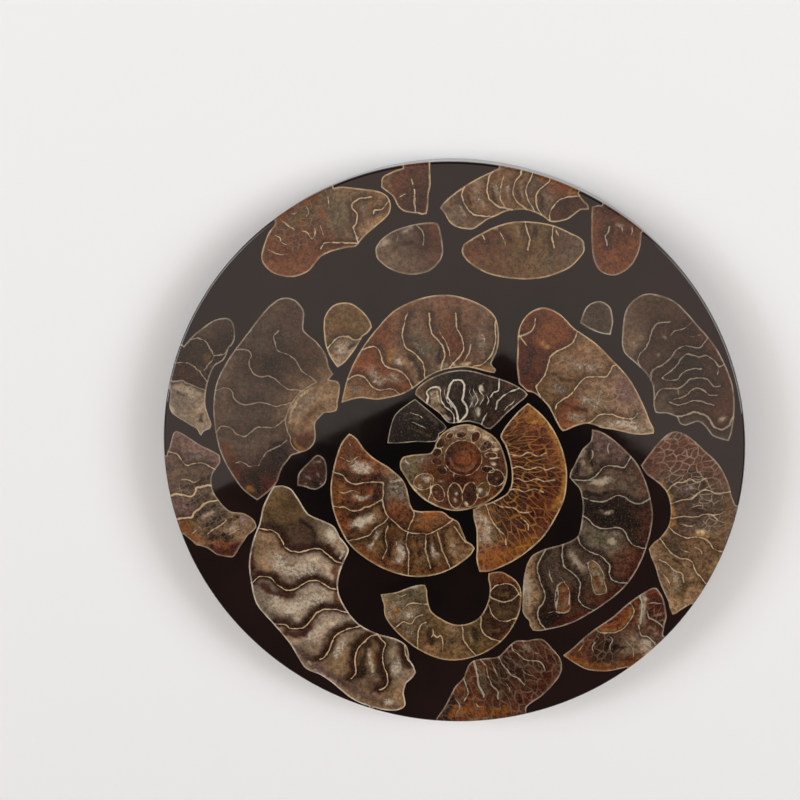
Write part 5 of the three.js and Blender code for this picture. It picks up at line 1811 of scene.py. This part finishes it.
def build_resin(rings):
    """The dark resin: a disc with rounded edges and a pocket for every slice."""
    rim, covered = rim_ring(rings)
    points = list(rim)
    faces = [list(range(len(rim)))]
    starts = {}
    for name, (ring, _) in rings.items():
        starts[name] = len(points)
        faces.append(list(range(len(points), len(points) + len(ring))))
        points += list(ring)
    top = triangulate(points, [], faces)
    places = place_numbers(top.origins)

    shell = Shell()
    tops = shell.add_points(top.points, DISC_THICKNESS)
    rows = edge_profile()
    rim_numbers = [places[i] for i in range(len(rim))]
    columns = {n: rim_column(shell, tops[n], point, rows) for n, point in zip(rim_numbers, rim)}
    floors = {number: column[-1] for number, column in columns.items()}

    def floor_of(number):
        """The point of the pocket floor under a point of the top, made when it is first asked for."""
        if number not in floors:
            floors[number] = shell.add_point(top.points[number], POCKET_FLOOR)
        return floors[number]

    for face, sources in zip(top.triangles, top.face_sources):
        in_pocket = any(source > 0 for source in sources)
        shell.add_face([floor_of(i) if in_pocket else tops[i] for i in face], [UP] * 3)
    rim_columns = [columns[number] for number in rim_numbers]
    for index in np.flatnonzero(~covered):
        add_rim_strip(shell, rim, rim_columns, index, (index + 1) % len(rim), rows)
    for name, (ring, on_rim) in rings.items():
        numbers = [places[starts[name] + i] for i in range(len(ring))]
        own_columns = {i: columns[n] for i, n in enumerate(numbers) if n in columns}
        add_pocket_walls(shell, ring, on_rim, tops[numbers], own_columns, [floor_of(n) for n in numbers])
    add_underside(shell, rim, [column[-1] for column in rim_columns])
    return shell.mesh("dark_resin")


# Materials

CRYSTAL_SIZE = 0.8


def new_group(name, inputs, outputs):
    """A shader node group with named sockets."""
    group = bpy.data.node_groups.new(name, "ShaderNodeTree")
    for label, kind, default in inputs:
        socket = group.interface.new_socket(label, in_out="INPUT", socket_type=kind)
        if default is not None:
            socket.default_value = default
    for label, kind in outputs:
        group.interface.new_socket(label, in_out="OUTPUT", socket_type=kind)
    return group


class Graph:
    """Short calls for making and joining shader nodes."""

    def __init__(self, tree):
        self.tree = tree

    def node(self, kind, **settings):
        """A new node with the given settings."""
        made = self.tree.nodes.new(kind)
        for label, value in settings.items():
            setattr(made, label, value)
        return made

    def join(self, source, target):
        """Joins an output socket to an input socket."""
        self.tree.links.new(source, target)

    def feed(self, target, value):
        """Joins a socket to a target, or sets the target to a plain value."""
        if isinstance(value, bpy.types.NodeSocket):
            self.join(value, target)
        else:
            target.default_value = value

    def math(self, operation, first, second=0.0, third=0.0):
        """The result of one calculation."""
        made = self.node("ShaderNodeMath", operation=operation)
        for socket, value in zip(made.inputs, (first, second, third)):
            self.feed(socket, value)
        return made.outputs[0]

    def mix(self, amount, first, second):
        """Two colours mixed by an amount."""
        made = self.node("ShaderNodeMix", data_type="RGBA")
        self.feed(made.inputs[0], amount)
        self.feed(made.inputs[6], first)
        self.feed(made.inputs[7], second)
        return made.outputs[2]

    def ramp(self, value, low, high, first=0.0, second=1.0):
        """A value led smoothly from one range into another."""
        made = self.node("ShaderNodeMapRange", interpolation_type="SMOOTHSTEP")
        self.feed(made.inputs[0], value)
        for socket, number in zip(made.inputs[1:5], (low, high, first, second)):
            self.feed(socket, number)
        return made.outputs[0]

    def noise(self, place, scale, detail=3.0, rough=0.6, warp=0.0):
        """Noise at a place, with its lumps' scale in lumps per metre."""
        made = self.node("ShaderNodeTexNoise")
        self.join(place, made.inputs["Vector"])
        self.feed(made.inputs["Scale"], scale)
        made.inputs["Detail"].default_value = detail
        made.inputs["Roughness"].default_value = rough
        made.inputs["Distortion"].default_value = warp
        return made.outputs[0]

    def attribute(self, name, output):
        """What is stored on the mesh's points under a name."""
        made = self.node("ShaderNodeAttribute", attribute_name=name)
        return made.outputs[output]


def rgba(shade, gain=1.0):
    """A named shade as a colour socket's value."""
    return (*[min(1, c * gain) for c in linear(shade)], 1.0)


def stone_grain_group():
    """Mottled grain of crystals, pale flecks and dark pits laid over a colour."""
    group = new_group(
        "stone_grain",
        [("Colour", "NodeSocketColor", None), ("Crystal Size", "NodeSocketFloat", 0.7),
         ("Contrast", "NodeSocketFloat", 0.5), ("Warm", "NodeSocketColor", None),
         ("Warmth", "NodeSocketFloat", 0.3), ("Crystals", "NodeSocketColor", None)],
        [("Colour", "NodeSocketColor"), ("Height", "NodeSocketFloat")])
    graph = Graph(group)
    given = graph.node("NodeGroupInput")
    place = graph.node("ShaderNodeTexCoord").outputs["Object"]
    density = graph.math("DIVIDE", 1000.0, given.outputs["Crystal Size"])
    fine = graph.noise(place, density, 4.0, 0.7, 0.8)
    broad = graph.noise(place, graph.math("MULTIPLY", density, 0.3), 3.0, 0.6, 1.2)
    speckle = graph.noise(place, graph.math("MULTIPLY", density, 2.2), 2.0, 0.6)
    contrast = given.outputs["Contrast"]
    swing = graph.math("SUBTRACT", graph.ramp(fine, 0.34, 0.66, 0.1, 1.95), 1.0)
    gain = graph.math("ADD", graph.math("MULTIPLY", swing, contrast), 1.0)
    scaled = graph.node("ShaderNodeVectorMath", operation="SCALE")
    graph.join(given.outputs["Colour"], scaled.inputs[0])
    graph.join(gain, scaled.inputs["Scale"])
    warm = graph.math("MULTIPLY", graph.ramp(broad, 0.46, 0.64), given.outputs["Warmth"])
    tinted = graph.mix(warm, scaled.outputs[0], given.outputs["Warm"])
    fleck = graph.math("MULTIPLY", graph.ramp(speckle, 0.58, 0.7, 0.0, 0.7), contrast)
    flecked = graph.mix(fleck, tinted, rgba("sand"))
    pit = graph.math("MULTIPLY", graph.ramp(speckle, 0.42, 0.3, 0.0, 0.6), contrast)
    pitted = graph.mix(pit, flecked, rgba("soot"))
    cloud = graph.math("MULTIPLY", graph.attribute("cloud", "Fac"), 0.42)
    dense = graph.math("ADD", graph.noise(place, 1500.0, 3.0, 0.7, 0.4), cloud)
    crystal = graph.ramp(dense, 0.7, 1.02, 0.0, 0.85)
    final = graph.mix(crystal, pitted, given.outputs["Crystals"])
    out = graph.node("NodeGroupOutput")
    graph.join(final, out.inputs["Colour"])
    graph.join(fine, out.inputs["Height"])
    return group


def seam_group():
    """The pale lines of the chamber walls and of the shell's edge, drawn from stored distances."""
    group = new_group(
        "chamber_seams",
        [("Colour", "NodeSocketColor", None), ("Line", "NodeSocketColor", None),
         ("Strength", "NodeSocketFloat", 0.8), ("Net", "NodeSocketColor", None),
         ("Shell", "NodeSocketColor", None),
         ("Shell Strength", "NodeSocketFloat", 0.6), ("Shell Width", "NodeSocketFloat", 0.3)],
        [("Colour", "NodeSocketColor"), ("Mask", "NodeSocketFloat")])
    graph = Graph(group)
    given = graph.node("NodeGroupInput")
    place = graph.node("ShaderNodeTexCoord").outputs["Object"]
    broken = graph.noise(place, 900.0, 3.0, 0.6, 0.5)
    patchy = graph.noise(place, 260.0, 2.0, 0.5)
    fray = graph.math("MULTIPLY", graph.math("SUBTRACT", broken, 0.5), 0.42)
    swell = graph.math("MULTIPLY", graph.math("SUBTRACT", patchy, 0.5), 0.3)
    seam = graph.math("ADD", graph.math("ADD", graph.attribute("seam", "Fac"), fray), swell)
    line = graph.ramp(seam, -0.06, 0.08, 1.0, 0.0)
    line = graph.math("MULTIPLY", line, graph.ramp(patchy, 0.3, 0.55, 0.6, 1.0))
    line = graph.math("MULTIPLY", line, given.outputs["Strength"])
    cells = graph.node("ShaderNodeTexVoronoi", voronoi_dimensions="2D", feature="DISTANCE_TO_EDGE")
    graph.join(graph.attribute("flow", "Vector"), cells.inputs["Vector"])
    cells.inputs["Scale"].default_value = 1.0
    thread = graph.ramp(graph.math("ADD", cells.outputs["Distance"], graph.math("MULTIPLY", fray, 0.5)),
                        0.0, 0.12, 1.0, 0.0)
    thread = graph.math("MULTIPLY", thread, graph.attribute("net", "Fac"))
    thread = graph.math("MULTIPLY", thread, graph.ramp(patchy, 0.32, 0.6, 0.35, 1.0))
    netted = graph.mix(thread, given.outputs["Colour"], given.outputs["Net"])
    lined = graph.mix(line, netted, given.outputs["Line"])
    border = graph.math("ADD", graph.attribute("border", "Fac"), graph.math("ADD", fray, swell))
    width = given.outputs["Shell Width"]
    near = graph.math("MULTIPLY", width, 0.6)
    far = graph.math("MULTIPLY", width, 1.3)
    shell = graph.ramp(border, near, far, 1.0, 0.0)
    rim = graph.math("MULTIPLY", shell, graph.ramp(patchy, 0.35, 0.62, 0.3, 1.0))
    rim = graph.math("MULTIPLY", rim, given.outputs["Shell Strength"])
    final = graph.mix(rim, lined, given.outputs["Shell"])
    out = graph.node("NodeGroupOutput")
    graph.join(final, out.inputs["Colour"])
    graph.join(graph.math("MAXIMUM", line, rim), out.inputs["Mask"])
    return group


STONE_GRAIN = stone_grain_group()
CHAMBER_SEAMS = seam_group()


def new_material(name):
    """An empty node material and the graph to fill it with."""
    material = bpy.data.materials.new(name)
    material.use_nodes = True
    material.node_tree.nodes.clear()
    return material, Graph(material.node_tree)


def fossil_material(name, warm, warmth, contrast, crystals, line, strength, net, shell, shell_strength):
    """Polished fossil shell under a clear gloss."""
    material, graph = new_material(name)
    grain = graph.node("ShaderNodeGroup", node_tree=STONE_GRAIN)
    graph.join(graph.attribute("tint", "Color"), grain.inputs["Colour"])
    grain.inputs["Crystal Size"].default_value = CRYSTAL_SIZE
    grain.inputs["Crystals"].default_value = rgba(crystals, 1.15)
    grain.inputs["Contrast"].default_value = contrast
    grain.inputs["Warm"].default_value = rgba(warm)
    grain.inputs["Warmth"].default_value = warmth
    seams = graph.node("ShaderNodeGroup", node_tree=CHAMBER_SEAMS)
    graph.join(grain.outputs["Colour"], seams.inputs["Colour"])
    seams.inputs["Line"].default_value = rgba(line)
    seams.inputs["Strength"].default_value = strength
    seams.inputs["Net"].default_value = rgba(net)
    seams.inputs["Shell"].default_value = rgba(shell)
    seams.inputs["Shell Strength"].default_value = shell_strength
    bump = graph.node("ShaderNodeBump")
    bump.inputs["Strength"].default_value = 0.06
    bump.inputs["Distance"].default_value = 0.0001
    graph.join(grain.outputs["Height"], bump.inputs["Height"])
    shader = graph.node("ShaderNodeBsdfPrincipled")
    graph.join(seams.outputs["Colour"], shader.inputs["Base Color"])
    graph.join(graph.ramp(grain.outputs["Height"], 0.3, 0.7, 0.12, 0.2), shader.inputs["Roughness"])
    graph.join(bump.outputs[0], shader.inputs["Normal"])
    shader.inputs["IOR"].default_value = 1.5
    out = graph.node("ShaderNodeOutputMaterial")
    graph.join(shader.outputs[0], out.inputs["Surface"])
    return material


def resin_material():
    """Near-black brown resin, polished, with a little dust in it, and a painted glow that lightens it
    towards its rim.
    """
    material, graph = new_material("dark_polished_resin")
    place = graph.node("ShaderNodeTexCoord").outputs["Object"]
    # Painted glow: the resin's colour runs from near black to a lighter, redder brown towards the rim,
    # standing in for the light seen along its rounded edge; the haze noise spreads soft patches of the
    # same lighter brown.
    haze = graph.noise(place, 45.0, 3.0, 0.55, 0.8)
    reach = graph.node("ShaderNodeVectorMath", operation="LENGTH")
    graph.join(place, reach.inputs[0])
    amount = graph.math("ADD", graph.ramp(reach.outputs["Value"], 0.02, 0.058, 0.0, 0.75),
                        graph.ramp(haze, 0.35, 0.7, 0.0, 0.35))
    # Near black in the middle, mixed by the amount above towards the painted glow's lighter red-brown.
    colour = graph.mix(amount, (0.0016, 0.0009, 0.0008, 1), (0.014, 0.0062, 0.0048, 1))
    specks = graph.node("ShaderNodeTexVoronoi")
    graph.join(place, specks.inputs["Vector"])
    specks.inputs["Scale"].default_value = 420.0
    dot = graph.ramp(specks.outputs["Distance"], 0.03, 0.07, 1.0, 0.0)
    rare = graph.ramp(graph.noise(place, 130.0, 2.0, 0.5), 0.62, 0.7)
    dust = graph.math("MULTIPLY", dot, rare)
    final = graph.mix(dust, colour, (0.3, 0.27, 0.23, 1))
    shader = graph.node("ShaderNodeBsdfPrincipled")
    graph.join(final, shader.inputs["Base Color"])
    smears = graph.noise(place, 80.0, 4.0, 0.6, 1.5)
    graph.join(graph.ramp(smears, 0.35, 0.75, 0.03, 0.07), shader.inputs["Roughness"])
    shader.inputs["IOR"].default_value = 1.52
    out = graph.node("ShaderNodeOutputMaterial")
    graph.join(shader.outputs[0], out.inputs["Surface"])
    return material


# Each finish: the warm stain and its strength, the contrast of the grain, the crystals' shade, the walls'
# shade and strength, the net's shade, and the shade and strength of the shell along the slice's edge
FOSSIL_FINISHES = {
    "brown_fossil": ("amber_brown", 0.3, 0.55, "chalk", "cream", 0.95, "sand", "cream", 0.75),
    "grey_brown_fossil": ("chestnut", 0.25, 0.45, "pearl", "pearl", 0.95, "sand", "chalk", 0.6),
    "tan_fossil": ("amber_brown", 0.3, 0.55, "chalk", "cream", 0.95, "pearl", "cream", 0.8),
    "amber_fossil": ("amber", 0.25, 0.65, "chalk", "cream", 0.8, "honey", "cream", 0.85),
    "olive_fossil": ("olive_brown", 0.3, 0.6, "chalk", "cream", 0.9, "sand", "cream", 0.7),
    "mauve_fossil": ("chestnut", 0.25, 0.6, "pearl", "cream", 0.85, "pearl", "chalk", 0.5),
    "red_fossil": ("umber", 0.3, 0.55, "pearl", "chalk", 0.75, "sand", "chalk", 0.6),
    "charcoal_fossil": ("near_black", 0.35, 0.5, "chalk", "white", 0.9, "pearl", "chalk", 0.75),
    "pearly_fossil": ("chestnut", 0.2, 0.4, "chalk", "cream", 1.0, "sand", "white", 0.9),
}


# Pieces

def place_piece(mesh, name, material, node):
    """Puts a finished mesh in the scene in place of its CAD node."""
    mesh.materials.append(material)
    piece = bpy.data.objects.new(name, mesh)
    bpy.context.scene.collection.objects.link(piece)
    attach(piece, "root")
    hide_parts(node)


def build_disc():
    """All the slices and the resin that holds them."""
    rings = {name: slice_ring(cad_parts[name]) for name in SLICES}
    finishes = {slot: fossil_material(slot, *values) for slot, values in FOSSIL_FINISHES.items()}
    for name, (ring, rim) in rings.items():
        slot = SLICES[name]["slot"]
        place_piece(build_slice(name, ring, rim), name + "_inlay", finishes[slot], name)
    place_piece(build_resin(rings), "dark_resin", resin_material(), "resin_disc")


# The stage: floor, lights and camera, with the floor and the lights in metres and watts

FLOOR_SIZE = 6
FLOOR_GAP = 0.0002
PANEL_SIZE = 1.2
PANEL_POWER = 37.0
PANEL_PLACES = {"left_soft": (-1.6, 0.3, 1.3), "right_soft": (1.6, 0.3, 1.3)}
WORLD_STRENGTH = 0.05
PANEL_COLOUR = (0.95, 0.98, 1.0)


def add_floor():
    """A pale floor just under the disc, only for the picture."""
    bpy.ops.mesh.primitive_plane_add(size=FLOOR_SIZE, location=(0, 0, -FLOOR_GAP))
    floor = bpy.context.object
    floor.name = "floor"
    material = bpy.data.materials.new("pale_floor")
    material.use_nodes = True
    shader = material.node_tree.nodes["Principled BSDF"]
    shader.inputs["Base Color"].default_value = (0.9, 0.9, 0.9, 1)
    shader.inputs["Roughness"].default_value = 0.9
    shader.inputs["Specular IOR Level"].default_value = 0.1
    floor.data.materials.append(material)


def add_panel(name, place):
    """A soft square light that looks at the disc."""
    light = bpy.data.lights.new(name, "AREA")
    light.shape = "SQUARE"
    light.size = PANEL_SIZE
    light.energy = PANEL_POWER
    light.color = PANEL_COLOUR
    panel = bpy.data.objects.new(name, light)
    bpy.context.scene.collection.objects.link(panel)
    place = Vector(place)
    facing = (-place).to_track_quat("-Z", "Y")
    panel.matrix_world = Matrix.Translation(place) @ facing.to_matrix().to_4x4()


# The overhead softbox, in metres: its near edge is a shallow gable, so its reflection covers
# the far half of the polished top and leaves the near half dark.
SOFTBOX_HEIGHT = 0.908
SOFTBOX_OUTLINE = [(-0.001, -0.17), (0.9, -0.796), (0.9, 0.35), (-1.0, 0.35), (-1.0, -0.672)]
SOFTBOX_COLOUR = (1.0, 0.86, 0.77, 1)
SOFTBOX_STRENGTH = 0.93


def add_softbox():
    """A large flat emitting panel over the disc."""
    mesh = bpy.data.meshes.new("softbox")
    mesh.from_pydata([(x, y, SOFTBOX_HEIGHT) for x, y in SOFTBOX_OUTLINE], [], [[4, 3, 2, 1, 0]])
    material = bpy.data.materials.new("softbox_light")
    material.use_nodes = True
    shader = material.node_tree.nodes["Principled BSDF"]
    shader.inputs["Base Color"].default_value = (0, 0, 0, 1)
    shader.inputs["Emission Color"].default_value = SOFTBOX_COLOUR
    shader.inputs["Emission Strength"].default_value = SOFTBOX_STRENGTH
    mesh.materials.append(material)
    softbox = bpy.data.objects.new("softbox", mesh)
    bpy.context.scene.collection.objects.link(softbox)


def add_lights():
    """A faint even light, the softbox over the disc, and a panel on each side."""
    world = bpy.data.worlds.new("studio")
    world.use_nodes = True
    world.node_tree.nodes["Background"].inputs[0].default_value = (1, 1, 1, 1)
    world.node_tree.nodes["Background"].inputs[1].default_value = WORLD_STRENGTH
    bpy.context.scene.world = world
    add_softbox()
    for name, place in PANEL_PLACES.items():
        add_panel(name, place)
    bpy.context.scene.view_settings.view_transform = "Standard"


# The photograph's viewing point, in millimetres above the top face, and its lens
CAMERA_PLACE = (14.7233, 83.6080, 288.1278)
CAMERA_AIM = (-10.2239, 11.7470, 0.0)
CAMERA_ROLL = -0.0085138
FOCAL_PIXELS = 1443
FRAME_PIXELS = 800
SENSOR_WIDTH = 36.0


def add_camera():
    """The camera, where the photograph was taken from."""
    data = bpy.data.cameras.new("camera")
    data.sensor_fit = "HORIZONTAL"
    data.sensor_width = SENSOR_WIDTH
    data.lens = FOCAL_PIXELS * SENSOR_WIDTH / FRAME_PIXELS
    data.clip_start = 0.01
    data.clip_end = 20
    camera = bpy.data.objects.new("camera", data)
    bpy.context.scene.collection.objects.link(camera)
    lift = Vector((0, 0, DISC_THICKNESS))
    place = (Vector(CAMERA_PLACE) + lift) * MM
    back = (place - (Vector(CAMERA_AIM) + lift) * MM).normalized()
    side = Vector((0, 1, 0)).cross(back).normalized()
    up = back.cross(side)
    c, s = math.cos(CAMERA_ROLL), math.sin(CAMERA_ROLL)
    right = c * side + s * up
    above = -s * side + c * up
    turn = Matrix((right, above, back)).transposed().to_4x4()
    camera.matrix_world = Matrix.Translation(place) @ turn
    bpy.context.scene.camera = camera


build_disc()
add_floor()
add_lights()
add_camera()
